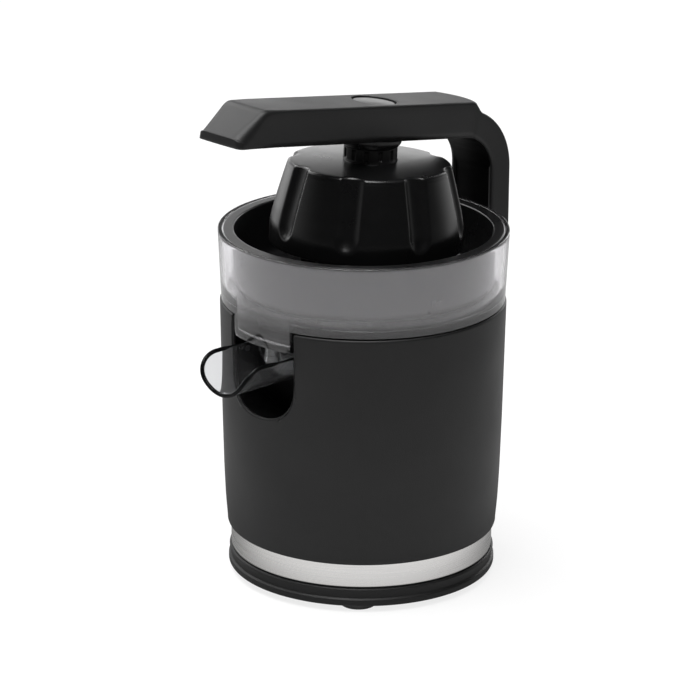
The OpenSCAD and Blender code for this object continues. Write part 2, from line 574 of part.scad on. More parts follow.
module bracket_screws() color("silver") at_drive() for (s = [-1, 1]) translate([s * 8, brk_screw, ledge_z - 7.6]) difference() {
    union() { cylinder(r = 1.5, h = 9.6); translate([0, 0, 9]) cylinder(r = 3, h = 1.6); }
    translate([-0.5, -2, 9.8]) cube([1, 4, 2]); translate([-2, -0.5, 9.8]) cube([4, 1, 2]);
}
module hinge_pin() color("silver") at_drive() translate([0, hinge_y, hinge_z]) rotate([0, 90, 0]) cylinder(r = pin_r, h = 2 * ear_out, center = true, $fn = 48);

// ------------------------------------------------------------------ latch and button
neck_top = 10.4;
module latch_collar() color("black") at_drive() difference() {
    union() {
        intersection() {
            dome3d() rotate_extrude() polygon([[0, neck_top], [15.3, neck_top], [arm_hw - 0.1, neck_top + 2.2], [arm_hw - 0.1, 40], [0, 40]]);
            arm3d() translate([-30, -30, -30]) cube([60, 60, 30]);
        }
        arm3d() translate([0, button_s, -1]) cylinder(r = 12, h = 6);
    }
    dome3d() translate([0, 0, neck_top - 1]) cylinder(r = 9.1, h = 7.4);
    arm3d() translate([0, button_s, -5]) cylinder(r = 3.5 + run, h = 20);
}
module release_button() color("silver") at_drive() arm3d() translate([0, button_s, 0]) {
    rotate_extrude() difference() {
        union() {
            translate([0, arm_top - 1.7]) square([button_r, 1.5]);
            intersection() { translate([0, arm_top + 0.7 - 150]) circle(r = 150, $fn = 720); translate([0, arm_top - 1]) square([button_r, 4]); }
        }
        translate([-200, -200]) square([200, 400]);
    }
    translate([0, 0, 1.8]) cylinder(r = 3.5, h = arm_top - 1.7 - 1.8 + 0.5, $fn = 48);
    translate([0, 0, 11.2]) cylinder(r = 6.6, h = 1.6);
}
module button_spring() color("silver") at_drive() arm3d() translate([0, button_s, 5]) coil(5.2, 0.5, 8, 0.743);

// ------------------------------------------------------------------ dome
slant = atan2(dome_low_r - 0.2 - dome_top_r, 32);
flute_r = 10;
flute_end = 35;
module flutes(g) for (i = [0:flute_count - 1]) rotate(i * 360 / flute_count - 90 - 11.5) {
    // axis of the flute runs parallel to the wall, outside it
    off = flute_r - flute_depth;
    cz = -flute_end + 8.9 * cos(slant);
    translate([dome_top_r + (-cz) * tan(slant) + off / cos(slant), 0, cz]) {
        rotate([0, -slant, 0]) cylinder(r = flute_r + g, h = 60, $fn = 64);
        sphere(r = flute_r + g + 0.03, $fn = 64);
    }
}
module press_dome() color("black") at_drive() dome3d() difference() {
    rotate_extrude($fn = 180) difference() {
        union() {
            polygon(concat([[0, 0.8]], [for (a = [90:-15:15]) [dome_top_r - 2.4 + 2 * cos(a), -1.2 + 2 * sin(a)]],
                [[dome_low_r - 0.2, -33], [dome_low_r, -35],
                [dome_low_r, -dome_h + 1], [dome_low_r - 1, -dome_h], [0, -dome_h]]));
        }
        translate([-200, -200]) square([200, 400]);
    }
    difference() {
        rotate_extrude($fn = 180) polygon([[0, 0.8 - dome_wall], [dome_top_r - dome_wall - 0.6, 0.8 - dome_wall],
            [dome_low_r - 0.2 - dome_wall, -33], [dome_low_r - dome_wall, -35], [dome_low_r - dome_wall, -dome_h - 1], [0, -dome_h - 1]]);
        flutes(dome_wall);
    }
    flutes(0);
    translate([0, 0, -5]) cylinder(r = 11, h = 10);
}
module dome_hub() color("black") at_drive() dome3d() difference() {
    union() {
        rotate_extrude() difference() {
            union() {
                translate([0, 0.8]) square([14.7, neck_top - 0.8]);
                translate([0, 0.8]) square([17, 2.3]);
            }
            translate([17, 3.1]) circle(r = 2.3);
        }
        translate([0, 0, neck_top - 1]) cylinder(r = 9, h = 7);
        translate([0, 0, -4]) cylinder(r = 11 - seat, h = 6);
        translate([0, 0, -4]) cylinder(r = 15, h = 4 + 0.8 - dome_wall);
    }
    for (i = [0:11]) rotate(i * 30 + 8) translate([13.7, -1.1, 4]) cube([4, 2.2, 5]);
    translate([0, 0, neck_top + 2]) cylinder(r = 4.6, h = 10);
    for (i = [0:2]) rotate(i * 60) translate([-12, -0.6, neck_top + 2.4]) cube([24, 1.2, 8]);
    for (i = [0:3]) rotate(45 + i * 90) translate([7.4, 0, -5]) { cylinder(r = 1.2, h = 9); cylinder(r = 2.4, h = 2.6); }
}
module dome_screws() color("silver") at_drive() dome3d() for (i = [0:3]) rotate(45 + i * 90) translate([7.4, 0, -3.8]) difference() {
    union() { cylinder(r = 2.3, h = 1.4); cylinder(r = 1.2, h = 7.6); }
    translate([-0.45, -1.6, -1]) cube([0.9, 3.2, 1.6]); translate([-1.6, -0.45, -1]) cube([3.2, 0.9, 1.6]);
}
module cord_gland() color("black") at_drive() translate([0, 0, shell_low + 13.4]) rotate([-90, 0, 0]) difference() {
    union() {
        translate([0, 0, body_low_r - wall - 2]) cylinder(r = gland_r - snap, h = wall + 5.2);
        translate([0, 0, body_low_r + 1.7]) cylinder(r = 7, h = 1.5);
        translate([0, 0, body_low_r + 3.1]) cylinder(r1 = 7, r2 = 5.6, h = 1);
        translate([0, 0, body_low_r - wall - 2]) cylinder(r = 7, h = 2);
    }
    translate([0, 0, 40]) cylinder(r = 3, h = 60);
}

feet();
base_plate();
base_screws();
base_plinth();
steel_band();
body_shell();
spout_recess();
top_deck();
hinge_bracket();
bracket_screws();
chassis_posts();
gear_plate();
gear_lid();
motor_stator();
motor_coils();
motor_bridges();
motor_dampers();
motor_rotor();
motor_pinion();
cooling_fan();
idler_gear();
idler_axle();
thrust_cup();
return_spring();
start_switch();
output_gear();
drive_spindle();
spindle_bush();
juice_bowl();
filter_basket();
reamer();
spout();
arm_shell();
arm_top_cover();
arm_inner_cover();
arm_screws();
arm_frame();
hinge_pin();
latch_collar();
release_button();
button_spring();
press_dome();
dome_hub();
dome_screws();
cord_gland();
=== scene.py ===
import json
import math

import bmesh
import bpy
import numpy as np
from mathutils import Matrix, Vector


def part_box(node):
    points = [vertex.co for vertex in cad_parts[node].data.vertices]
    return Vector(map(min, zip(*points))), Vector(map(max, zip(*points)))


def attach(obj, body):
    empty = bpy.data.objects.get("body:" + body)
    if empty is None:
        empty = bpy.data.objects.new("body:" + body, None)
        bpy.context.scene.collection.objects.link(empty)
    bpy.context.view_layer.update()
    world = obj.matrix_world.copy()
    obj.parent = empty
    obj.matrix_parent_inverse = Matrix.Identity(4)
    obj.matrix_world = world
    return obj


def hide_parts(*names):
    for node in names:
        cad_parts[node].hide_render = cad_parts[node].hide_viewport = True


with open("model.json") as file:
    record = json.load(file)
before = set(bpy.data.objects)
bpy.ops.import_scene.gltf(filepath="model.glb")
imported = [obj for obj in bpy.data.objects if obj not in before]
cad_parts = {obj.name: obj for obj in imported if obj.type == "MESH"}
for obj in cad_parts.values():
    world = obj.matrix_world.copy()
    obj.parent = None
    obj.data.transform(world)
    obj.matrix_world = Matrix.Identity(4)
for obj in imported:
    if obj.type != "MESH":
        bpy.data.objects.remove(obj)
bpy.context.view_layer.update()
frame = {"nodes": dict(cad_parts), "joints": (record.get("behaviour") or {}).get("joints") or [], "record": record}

joints = {joint["name"]: joint for joint in frame["joints"]}
nodes = frame["nodes"]

# how arm and dome stand over the clear rim: mm up, degrees, mm behind the drive axis
stance = dict(armUp=50.95, domeUp=35.4, domeLean=3.2, domeBack=4.2)

# shared measures in mm: heights above the table, the rest from the drive axis
axisY = joints["cone_spin"]["pos_m"][1] * 1000
pressWay = joints["release_press"]["axis"]
armTilt = math.atan2(-pressWay[1], -pressWay[2])
domeTilt = math.radians(stance["domeLean"])
shellLow, bodyTop = (corner.z * 1000 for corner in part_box("body_shell"))
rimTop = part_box("juice_bowl")[1].z * 1000
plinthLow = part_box("base_plinth")[0].z * 1000
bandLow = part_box("steel_band")[0].z * 1000
armHeight = rimTop + stance["armUp"]
domeHeight = rimTop + stance["domeUp"]
hingeAt, pivotAt = ((joints[name]["pos_m"][1] * 1000 - axisY, joints[name]["pos_m"][2] * 1000)
                    for name in ("arm_hinge", "spout_tilt"))

# meshing: merging distances in metres, then angles in degrees
meshing = dict(merge=2e-6, copyMerge=1e-6, flatJoin=0.8, sharp=38, smooth=180, bevelAngle=32)
mostCut = 0.49  # share of a side that a rounded corner may take
pole = 0.02  # radius in mm at which a turned form closes on its axis


def softLine(corners, radii, steps=6):
    # each inner corner C is cut back by its radius to A and B and becomes (1-t)^2 A + 2t(1-t) C + t^2 B
    c = np.asarray(corners, float)
    r = np.broadcast_to(np.asarray(radii, float), len(c) - 2)
    back, ahead = c[:-2] - c[1:-1], c[2:] - c[1:-1]
    backLen, aheadLen = np.linalg.norm(back, axis=1), np.linalg.norm(ahead, axis=1)
    cut = np.minimum(r, mostCut * np.minimum(backLen, aheadLen))
    a = c[1:-1] + back * (cut / backLen)[:, None]
    b = c[1:-1] + ahead * (cut / aheadLen)[:, None]
    t = np.linspace(0, 1, steps)[None, :, None]
    bend = (1 - t) ** 2 * a[:, None] + 2 * t * (1 - t) * c[1:-1][:, None] + t ** 2 * b[:, None]
    return np.vstack([c[:1], bend.reshape(-1, 2), c[-1:]])


def softLoop(corners, radii, steps=6):
    # the same for a closed outline
    c = np.asarray(corners, float)
    return softLine(np.vstack([c[-1:], c, c[:1]]), radii, steps)[1:-1]


def fineLine(line, gap):
    # a line gets extra points so that none lie further apart than the gap; its own points stay
    run = np.concatenate([[0], np.cumsum(np.linalg.norm(np.diff(line, axis=0), axis=1))])
    s = np.unique(np.round(np.concatenate([run, np.linspace(0, run[-1], int(run[-1] / gap) + 2)]), 6))
    return np.stack([np.interp(s, run, line[:, k]) for k in range(line.shape[1])], 1), s, run


def smoothStep(v):
    # rises from 0 to 1 as 3 v^2 - 2 v^3
    v = np.clip(v, 0, 1)
    return v ** 2 * (3 - 2 * v)


def roundCircle(steps):
    # the angles of a full turn, one to a row
    return np.linspace(0, 2 * np.pi, steps, endpoint=False)[:, None]


def polar(r, a, z):
    # radius, angle from the front and height become (r sin a, -r cos a, z)
    return np.stack([r * np.sin(a), -r * np.cos(a), z + 0 * a], -1)


def turned(profile, steps=192):
    # a profile of (radius, height) swept round the axis
    return polar(profile[:, 0][None], roundCircle(steps), profile[:, 1][None])


def armPlace(p):
    # from the arm's own frame (x, along the arm, square to it) to the drive axis on the table
    c, s = math.cos(armTilt), math.sin(armTilt)
    return np.stack([p[..., 0], p[..., 1] * c + p[..., 2] * s, armHeight - p[..., 1] * s + p[..., 2] * c], -1)


def domePlace(p):
    # the same for the dome, which leans less and sits behind the axis
    c, s = math.cos(domeTilt), math.sin(domeTilt)
    back = stance["domeBack"] + p[..., 1] * c + p[..., 2] * s
    return np.stack([p[..., 0], back, domeHeight - p[..., 1] * s + p[..., 2] * c], -1)


def addPiece(name, body, mesh, finish, stands, sharp):
    mesh.shade_smooth()
    mesh.set_sharp_from_angle(angle=math.radians(sharp))
    piece = bpy.data.objects.new(name, mesh)
    bpy.context.scene.collection.objects.link(piece)
    mesh.materials.append(finish)
    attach(piece, body)
    if stands:
        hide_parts(*stands)
    return piece


def gridPiece(name, body, points, finish, stands=(), wrapU=True, wrapV=False, caps=False,
              keep=None, place=None, sharp=meshing["sharp"]):
    # points is a grid of rows u and columns v in mm; neighbouring points make a four-sided face
    p = points if place is None else place(points)
    nu, nv = p.shape[:2]
    at = np.arange(nu * nv).reshape(nu, nv)
    ends = [at[0][::-1].tolist(), at[-1].tolist()] if caps else []
    at = np.vstack([at, at[:1]]) if wrapU else at
    at = np.hstack([at, at[:, :1]]) if wrapV else at
    quads = np.stack([at[:-1, :-1], at[1:, :-1], at[1:, 1:], at[:-1, 1:]], -1)
    quads = (quads[keep] if keep is not None else quads).reshape(-1, 4)
    verts = p.reshape(-1, 3) * 0.001 + [0, axisY * 0.001, 0]
    mesh = bpy.data.meshes.new(name)
    mesh.from_pydata(verts.tolist(), [], quads.tolist() + ends)
    bm = bmesh.new()
    bm.from_mesh(mesh)
    loose = [v for v in bm.verts if not v.link_faces]
    bmesh.ops.delete(bm, geom=loose, context="VERTS")
    bmesh.ops.remove_doubles(bm, verts=bm.verts, dist=meshing["merge"])
    bmesh.ops.recalc_face_normals(bm, faces=bm.faces)
    bm.to_mesh(mesh)
    bm.free()
    return addPiece(name, body, mesh, finish, stands, sharp)


def softened(name, node, body, finish, width, steps, angle=meshing["bevelAngle"]):
    # a merged copy of a CAD node whose edges get a small rounding
    mesh = nodes[node].data.copy()
    mesh.name = name
    bm = bmesh.new()
    bm.from_mesh(mesh)
    bmesh.ops.remove_doubles(bm, verts=bm.verts, dist=meshing["copyMerge"])
    flatJoin = math.radians(meshing["flatJoin"])
    bmesh.ops.dissolve_limit(bm, angle_limit=flatJoin, verts=bm.verts, edges=bm.edges)
    bm.to_mesh(mesh)
    bm.free()
    mesh.materials.clear()
    piece = addPiece(name, body, mesh, finish, (node,), meshing["smooth"])
    addBevel(piece, width, steps, angle)


def addBevel(piece, width, steps, angle):
    bevel = piece.modifiers.new("edge", "BEVEL")
    bevel.width, bevel.segments = width * 0.001, steps
    bevel.limit_method, bevel.angle_limit = "ANGLE", math.radians(angle)
    bevel.use_clamp_overlap = False
    bevel.harden_normals = True


def addWall(piece, thickness, offset=-1.0):
    wall = piece.modifiers.new("wall", "SOLIDIFY")
    wall.thickness, wall.offset = thickness * 0.001, offset
    wall.use_even_offset = True


# shader nodes, each returning the socket that carries its result
def feed(tree, socket, source):
    # a socket gets a link or a fixed value
    if isinstance(source, bpy.types.NodeSocket):
        tree.links.new(source, socket)
    else:
        socket.default_value = source


def mathNode(tree, kind, one, two, clamp=False):
    # one operation on two sockets or numbers
    node = tree.nodes.new("ShaderNodeMath")
    node.operation, node.use_clamp = kind, clamp
    feed(tree, node.inputs[0], one)
    feed(tree, node.inputs[1], two)
    return node.outputs[0]


def spanNode(tree, source, span, smooth=True):
    # carries a number from the span's first two values to its last two
    node = tree.nodes.new("ShaderNodeMapRange")
    node.interpolation_type = "SMOOTHSTEP" if smooth else "LINEAR"
    for socket, value in zip(("From Min", "From Max", "To Min", "To Max"), span):
        node.inputs[socket].default_value = value
    tree.links.new(source, node.inputs["Value"])
    return node.outputs["Result"]


def dotNode(tree, source, turn):
    # how far a direction points towards the side where the studio's camera stands, turned by some degrees
    a = math.radians(look["azimuth"] + turn)
    node = tree.nodes.new("ShaderNodeVectorMath")
    node.operation = "DOT_PRODUCT"
    node.inputs[1].default_value = (math.sin(a), -math.cos(a), 0)
    tree.links.new(source, node.inputs[0])
    return node.outputs["Value"]


def noiseNode(tree, where, scale, detail):
    node = tree.nodes.new("ShaderNodeTexNoise")
    node.inputs["Scale"].default_value = scale
    node.inputs["Detail"].default_value = detail
    tree.links.new(where, node.inputs["Vector"])
    return node.outputs["Fac"]


def bumpNode(tree, height, lift, strength):
    node = tree.nodes.new("ShaderNodeBump")
    node.inputs["Distance"].default_value = lift
    node.inputs["Strength"].default_value = strength
    tree.links.new(height, node.inputs["Height"])
    return node.outputs["Normal"]


def toneNode(tree, share, one, two, blend="MIX"):
    # two colours mixed by a share, or multiplied
    node = tree.nodes.new("ShaderNodeMix")
    node.data_type, node.blend_type = "RGBA", blend
    for socket, source in ((0, share), (6, one), (7, two)):
        feed(tree, node.inputs[socket], source)
    return node.outputs[2]


def makeFinish(name, colour, rough, grain=(1100, 0.00003, 0.35), blotch=(28, 0.10), spread=0.05,
               stretch=(1, 1, 1), fixed=None):
    # colour and gloss drift with a coarse noise, blotch = (scale, share of the colour);
    # a fine noise lifts the surface, grain = (scale, height in metres, strength)
    mat = bpy.data.materials.new(name)
    mat.use_nodes = True
    tree = mat.node_tree
    shader = tree.nodes["Principled BSDF"]
    where, turn = tree.nodes.new("ShaderNodeTexCoord"), tree.nodes.new("ShaderNodeMapping")
    turn.inputs["Scale"].default_value = stretch
    tree.links.new(where.outputs["Object"], turn.inputs["Vector"])
    coarse = noiseNode(tree, turn.outputs["Vector"], blotch[0], 5)
    dark, light = ([c * (1 + drift) for c in colour] + [1] for drift in (-blotch[1], blotch[1]))
    tree.links.new(toneNode(tree, coarse, dark, light), shader.inputs["Base Color"])
    gloss = spanNode(tree, coarse, (0.3, 0.7, rough - spread, rough + spread), False)
    tree.links.new(gloss, shader.inputs["Roughness"])
    fine = noiseNode(tree, turn.outputs["Vector"], grain[0], 3)
    tree.links.new(bumpNode(tree, fine, grain[1], grain[2]), shader.inputs["Normal"])
    for socket, value in (fixed or {}).items():
        shader.inputs[socket].default_value = value
    return mat


clear = dict(ripple=35, detail=2, lift=0.00001, strength=0.05, drift=0.98)


def makeClear(name, tint, haze, rough, bend=1.5, paintedShades=()):
    # clear moulding: passes light, with a little haze of its own; a painted shade is a stretch of height, in
    # metres from and to, where the colour is darkened to paint shade, with the shares of the colour left at its
    # two ends
    mat = bpy.data.materials.new(name)
    mat.use_nodes = True
    tree = mat.node_tree
    shader = tree.nodes["Principled BSDF"]
    where, height = tree.nodes.new("ShaderNodeTexCoord"), tree.nodes.new("ShaderNodeSeparateXYZ")
    tree.links.new(where.outputs["Object"], height.inputs[0])
    ripple = noiseNode(tree, where.outputs["Object"], clear["ripple"], clear["detail"])
    tree.links.new(bumpNode(tree, ripple, clear["lift"], clear["strength"]), shader.inputs["Normal"])
    colour = toneNode(tree, ripple, [c * clear["drift"] for c in tint] + [1], [*tint, 1])
    for span in paintedShades:
        colour = toneNode(tree, 1.0, colour, spanNode(tree, height.outputs["Z"], span, False), "MULTIPLY")
    tree.links.new(colour, shader.inputs["Base Color"])
    shader.inputs["Roughness"].default_value = rough
    shader.inputs["IOR"].default_value = bend
    shader.inputs["Transmission Weight"].default_value = 1 - haze
    return mat


# one finish for each material slot of the record
finishes = {
    "black_plastic": makeFinish("moulded black", (0.0075, 0.0075, 0.008), 0.42, grain=(1500, 0.00005, 0.5),
                                fixed={"Specular IOR Level": 0.42}),
    "dome_plastic": makeFinish("polished black", (0.0028, 0.0028, 0.003), 0.29, grain=(600, 0.00002, 0.12),
                               blotch=(60, 0.15), spread=0.02, fixed={"Specular IOR Level": 0.4}),
    "basket_plastic": makeFinish("strainer black", (0.005, 0.005, 0.0053), 0.3, grain=(700, 0.00002, 0.2)),
    "clear_plastic": makeClear("clear moulding", (0.74, 0.745, 0.755), 0.015, 0.02),
    "steel_trim": makeFinish("brushed band", (0.72, 0.71, 0.7), 0.28, grain=(90, 0.00002, 0.25),
                             blotch=(22, 0.05), spread=0.06, stretch=(1, 1, 45), fixed={"Metallic": 1.0}),
    "satin_disc": makeFinish("satin disc", (0.2, 0.2, 0.2), 0.3, grain=(900, 0.00001, 0.1), blotch=(40, 0.04),
                             spread=0.02, fixed={"Metallic": 1.0, "Specular Tint": (0.62, 0.62, 0.62, 1)}),
    "rubber": makeFinish("foot rubber", (0.045, 0.045, 0.045), 0.8, grain=(900, 0.0001, 0.4)),
    "zinc_screw": makeFinish("zinc", (0.5, 0.5, 0.52), 0.35, grain=(600, 0.00003, 0.3),
                             fixed={"Metallic": 1.0}),
    "gear_plastic": makeFinish("acetal", (0.72, 0.7, 0.62), 0.38, grain=(500, 0.00003, 0.2),
                               fixed={"Subsurface Weight": 0.1}),
    "inner_plastic": makeFinish("glass filled plastic", (0.05, 0.052, 0.055), 0.55,
                                grain=(900, 0.00008, 0.5)),
    "motor_steel": makeFinish("motor steel", (0.2, 0.21, 0.23), 0.5, grain=(60, 0.00008, 0.5),
                              stretch=(1, 1, 30), fixed={"Metallic": 0.9}),
    "copper": makeFinish("copper wire", (0.5, 0.19, 0.07), 0.32, grain=(120, 0.0002, 0.6),
                         stretch=(14, 1, 1), fixed={"Metallic": 1.0}),
    "brass": makeFinish("sintered bronze", (0.5, 0.34, 0.13), 0.4, grain=(800, 0.00005, 0.5),
                        fixed={"Metallic": 1.0}),
    "frame_steel": makeFinish("pressed steel", (0.42, 0.42, 0.43), 0.4, grain=(400, 0.00003, 0.3),
                              fixed={"Metallic": 1.0}),
}

# finishes of single pieces; painted shade darkens the bowl at its foot by the seam with the body, below the
# strainer's floor, and at the edge of its rim, where a clear rim looks dark
bowlClear = makeClear("bowl moulding", (0.955, 0.945, 0.965), 0.048, 0.06, paintedShades=(
    (bodyTop / 1000 - 0.001, bodyTop / 1000 + 0.004, 0.42, 1.0),
    (bodyTop / 1000 + 0.0066, bodyTop / 1000 + 0.0082, 0.72, 1.0),
    (rimTop / 1000 - 0.0011, rimTop / 1000 - 0.0006, 1.0, 0.22)))
# the outlet's haze makes it lighter: painted light for the reflection it catches
pipePaintedLight = makeClear("outlet with painted light", (0.6, 0.605, 0.61), 0.14, 0.1)
# the bead is tinted nearly black: painted shade for the dark edge of a clear bead
rimShadeClear = makeClear("clear rim with painted shade", (0.012, 0.0125, 0.013), 0.1, 0.15, 1.17)
softBlack = makeFinish("soft touch black", (0.007, 0.007, 0.0072), 0.5, grain=(1300, 0.00009, 0.6),
                       blotch=(18, 0.12), fixed={"Specular IOR Level": 0.33})
lipBlack = makeFinish("satin edge black", (0.006, 0.006, 0.0062), 0.3, grain=(900, 0.00003, 0.3))
armBlack = makeFinish("arm soft touch", (0.006, 0.006, 0.0062), 0.47, grain=(1300, 0.00009, 0.6),
                      blotch=(18, 0.12), fixed={"Specular IOR Level": 0.36})
neckBlack = makeFinish("neck black", (0.004, 0.004, 0.0042), 0.42, grain=(1200, 0.00003, 0.3),
                       fixed={"Specular IOR Level": 0.3})
# nearly black with almost no gloss: painted shade, used for the seam ring, the notch's liner and the arm's inner
# lining
shadeBlack = makeFinish("painted shade black", (0.0015, 0.0015, 0.0017), 0.55, grain=(900, 0.00003, 0.3),
                       fixed={"Specular IOR Level": 0.05})

slotOf = {part["node"]: part["material_slot"] for part in frame["record"]["subparts"]}
for name, node in nodes.items():
    node.data.materials.clear()
    node.data.materials.append(finishes[slotOf[name]])
print("finishes made")

# moulded plinth: radii, and heights over its foot unless they say from the band
plinth = dict(foot=72.25, toe=74.1, lip=74.6, lipFrom=0.8, lipTo=3.5, crease=4.5, creaseIn=0.5, waist=73.7,
              waistUp=7.2, shoulder=74.2, seat=73.4, neck=72.3, inner=70.2, step=69.2, stepFrom=2.6, stepTo=6,
              innerFrom=8, underBand=0.9, tuck=2.4, soft=0.45, steps=240)


def makePlinth():
    # a closed outline of (radius, height) turned round the axis: up the outside, over and down the inside
    z0, zt, up = plinthLow, bandLow - plinth["underBand"], shellLow + plinth["tuck"]
    outside = [[plinth["foot"], z0], [plinth["toe"], z0], [plinth["lip"], z0 + plinth["lipFrom"]],
               [plinth["lip"], z0 + plinth["lipTo"]],
               [plinth["waist"] - plinth["creaseIn"], z0 + plinth["crease"]],
               [plinth["waist"], z0 + plinth["waistUp"]],
               [plinth["shoulder"], zt - plinth["underBand"]], [plinth["seat"], zt], [plinth["neck"], zt]]
    inside = [[plinth["neck"], up], [plinth["inner"], up], [plinth["inner"], z0 + plinth["innerFrom"]],
              [plinth["step"], z0 + plinth["stepTo"]], [plinth["step"], z0 + plinth["stepFrom"]],
              [plinth["foot"], z0 + plinth["stepFrom"]]]
    outline = softLoop(outside + inside, plinth["soft"])
    gridPiece("plinthRing", "base", turned(outline, plinth["steps"]), softBlack,
              ("base_plinth",), wrapV=True)


# steel trim band with a slight belly
band = dict(inside=72.45, edge=73.0, face=73.12, faceFrom=0.5, belly=73.16, bellyUp=7, soft=0.3, steps=240)


def makeBand():
    # a closed outline turned round the axis
    face = [[band["edge"], bandLow], [band["face"], bandLow + band["faceFrom"]],
            [band["belly"], bandLow + band["bellyUp"]], [band["face"], shellLow - band["faceFrom"]],
            [band["edge"], shellLow]]
    outline = softLoop([[band["inside"], bandLow], *face, [band["inside"], shellLow]], band["soft"])
    gridPiece("bandHoop", "base", turned(outline, band["steps"]), finishes["steel_trim"],
              ("steel_band",), wrapV=True)


makePlinth()
makeBand()
print("base made")

# body shell with its spout notch: side heights over its foot, notch half width measured round the body,
# corner angles in radians where the notch's corners end at the foot
shell = dict(sideUp=(0, 5, 13.4, 31.4, 61.4), sideRadius=(75, 75.5, 76.2, 77, 77.8, 79), sideBlend=5,
             notchHalf=24.8675, notchDrop=51.8, notchRound=24.2, cornerRound=1.5, bends=14, gap=1.5,
             lowCorners=(0.26, 0.72), wall=2.4, edge=1.3, edgeAngle=50, hang=1.1, rows=54)


def shellRadius(z):
    # the moulded side line, averaged over a few mm each way so that it bends without corners
    heights = shellLow + np.array([*shell["sideUp"], bodyTop - shellLow])
    shifts = np.linspace(-shell["sideBlend"], shell["sideBlend"], 9)
    near = [np.clip(z + shift, shellLow, bodyTop) for shift in shifts]
    return np.mean([np.interp(at, heights, shell["sideRadius"]) for at in near], axis=0)


def makeShell():
    # the upper edge runs round the top and dips round the notch; each of its points is joined down to the
    # lower edge, angle and height moving in proportion, and the radius follows the height
    topR = shellRadius(np.array(bodyTop))
    half, notchLow, far = shell["notchHalf"], bodyTop - shell["notchDrop"], math.pi * topR
    corners = [[-far, bodyTop], [-half, bodyTop], [-half, notchLow],
               [half, notchLow], [half, bodyTop], [far, bodyTop]]
    rounds = [shell["cornerRound"], shell["notchRound"], shell["notchRound"], shell["cornerRound"]]
    bends = shell["bends"]
    line, s, run = fineLine(softLine(corners, rounds, bends), shell["gap"])
    marks = run[[1 + bends // 2 + k * bends for k in range(4)]]
    near, wide = shell["lowCorners"]
    lowAngle = np.interp(s, [0, *marks, s[-1]], [-math.pi, -wide, -near, near, wide, math.pi])
    topAngle = line[:, 0] / shellRadius(line[:, 1])
    topAngle = np.clip(topAngle * math.pi / (far / topR), -math.pi, math.pi)
    v, foot = np.linspace(0, 1, shell["rows"])[None], shellLow - shell["hang"]
    z = foot + (line[:, 1][:, None] - foot) * v
    a = lowAngle[:, None] + (topAngle - lowAngle)[:, None] * v
    piece = gridPiece("bodySkin", "base", polar(shellRadius(z), a, z), softBlack,
                      ("body_shell",), wrapU=False, sharp=meshing["smooth"])
    addWall(piece, shell["wall"])
    addBevel(piece, shell["edge"], 3, shell["edgeAngle"])


makeShell()
print("body shell made")

# clear bowl: radii and half widths, heights over its foot, down from its rim, or from the body's top (apron);
# sump values come in pairs, for the upper and the under side of its floor
bowl = dict(outside=78.3, rimOut=80.0, rimIn=77.6, lip=77.45, lipDown=2.5, rimEdge=0.3, rimDown=2, floor=2,
            shoulder=77.3, shoulderDown=5, flank=75.9, flankUp=8, foot=74.4, tubeOut=12.6, tubeIn=10.5,
            tubeUp=17.6, seam=0.9, hem=76.2, hemUp=0.9,
            hemLine=((76.3, 0.3), (76.9, 0.0), (77.6, 0.0), (78.2, 0.3)), apronHalf=22.2, apronLow=-11.5,
            apronRound=3.0, tuck=0.2, sumpHalf=(20.4, 21.9), sumpFrom=(60.6, 58.9), ramp=0.5, sinkBelow=9,
            columns=240, crowd=0.05, pastEdge=(0.0004, 0.004), front=1.5, tubeClear=40)
bowlLow = bodyTop + bowl["seam"]
apronZ = bodyTop + bowl["apronLow"]
apronEdge = math.asin(bowl["apronHalf"] / bowl["outside"])


def bowlSection():
    # outline of (radius, height): up the outside and over the rim to its lip, then down the inside, over
    # floor and tube, and back under the floor, with extra points where the sump steps down; also how many
    # points the first part has
    zf, zt, floor, rimEdge = bowlLow, rimTop, bowlLow + bowl["floor"], bowl["rimEdge"]
    lip, tubeTop = [bowl["lip"], zt - bowl["lipDown"]], zf + bowl["tubeUp"]
    rim = [[bowl["rimOut"], zt - bowl["rimDown"]], [bowl["rimOut"], zt - rimEdge],
           [bowl["rimOut"] - rimEdge, zt], [bowl["rimIn"], zt]]
    upper = softLine([[bowl["outside"], zf], *rim, lip], [0.3, 0.5, 0.5, 0.5], 5)
    wall = [[bowl["shoulder"], zt - bowl["shoulderDown"]], [bowl["flank"], zf + bowl["flankUp"]],
            [bowl["foot"], floor]]
    tube = [[bowl["tubeOut"], floor], [bowl["tubeOut"], tubeTop],
            [bowl["tubeIn"], tubeTop], [bowl["tubeIn"], zf]]
    lower = softLine([lip, *wall, *tube, [bowl["hem"], zf]], [0.8, 3, 5, 1, 0.6, 0.6, 0.4], 5)
    step = np.concatenate([start + bowl["ramp"] * np.array([0, 0.5, 1]) for start in bowl["sumpFrom"][::-1]])
    isTop = lower[:, 1] > zf + bowl["floor"] / 2
    onTop = np.flatnonzero(isTop & (lower[:, 0] > step[-1]))[-1] + 1
    onLow = np.flatnonzero(~isTop & (lower[:, 0] < step[0]))[-1] + 1
    floorTop, floorUnder = np.stack([step[::-1], floor + 0 * step], -1), np.stack([step, zf + 0 * step], -1)
    lower = np.vstack([lower[:onTop], floorTop, lower[onTop:onLow], floorUnder, lower[onLow:]])
    return np.vstack([upper[:-1], lower]), len(upper)


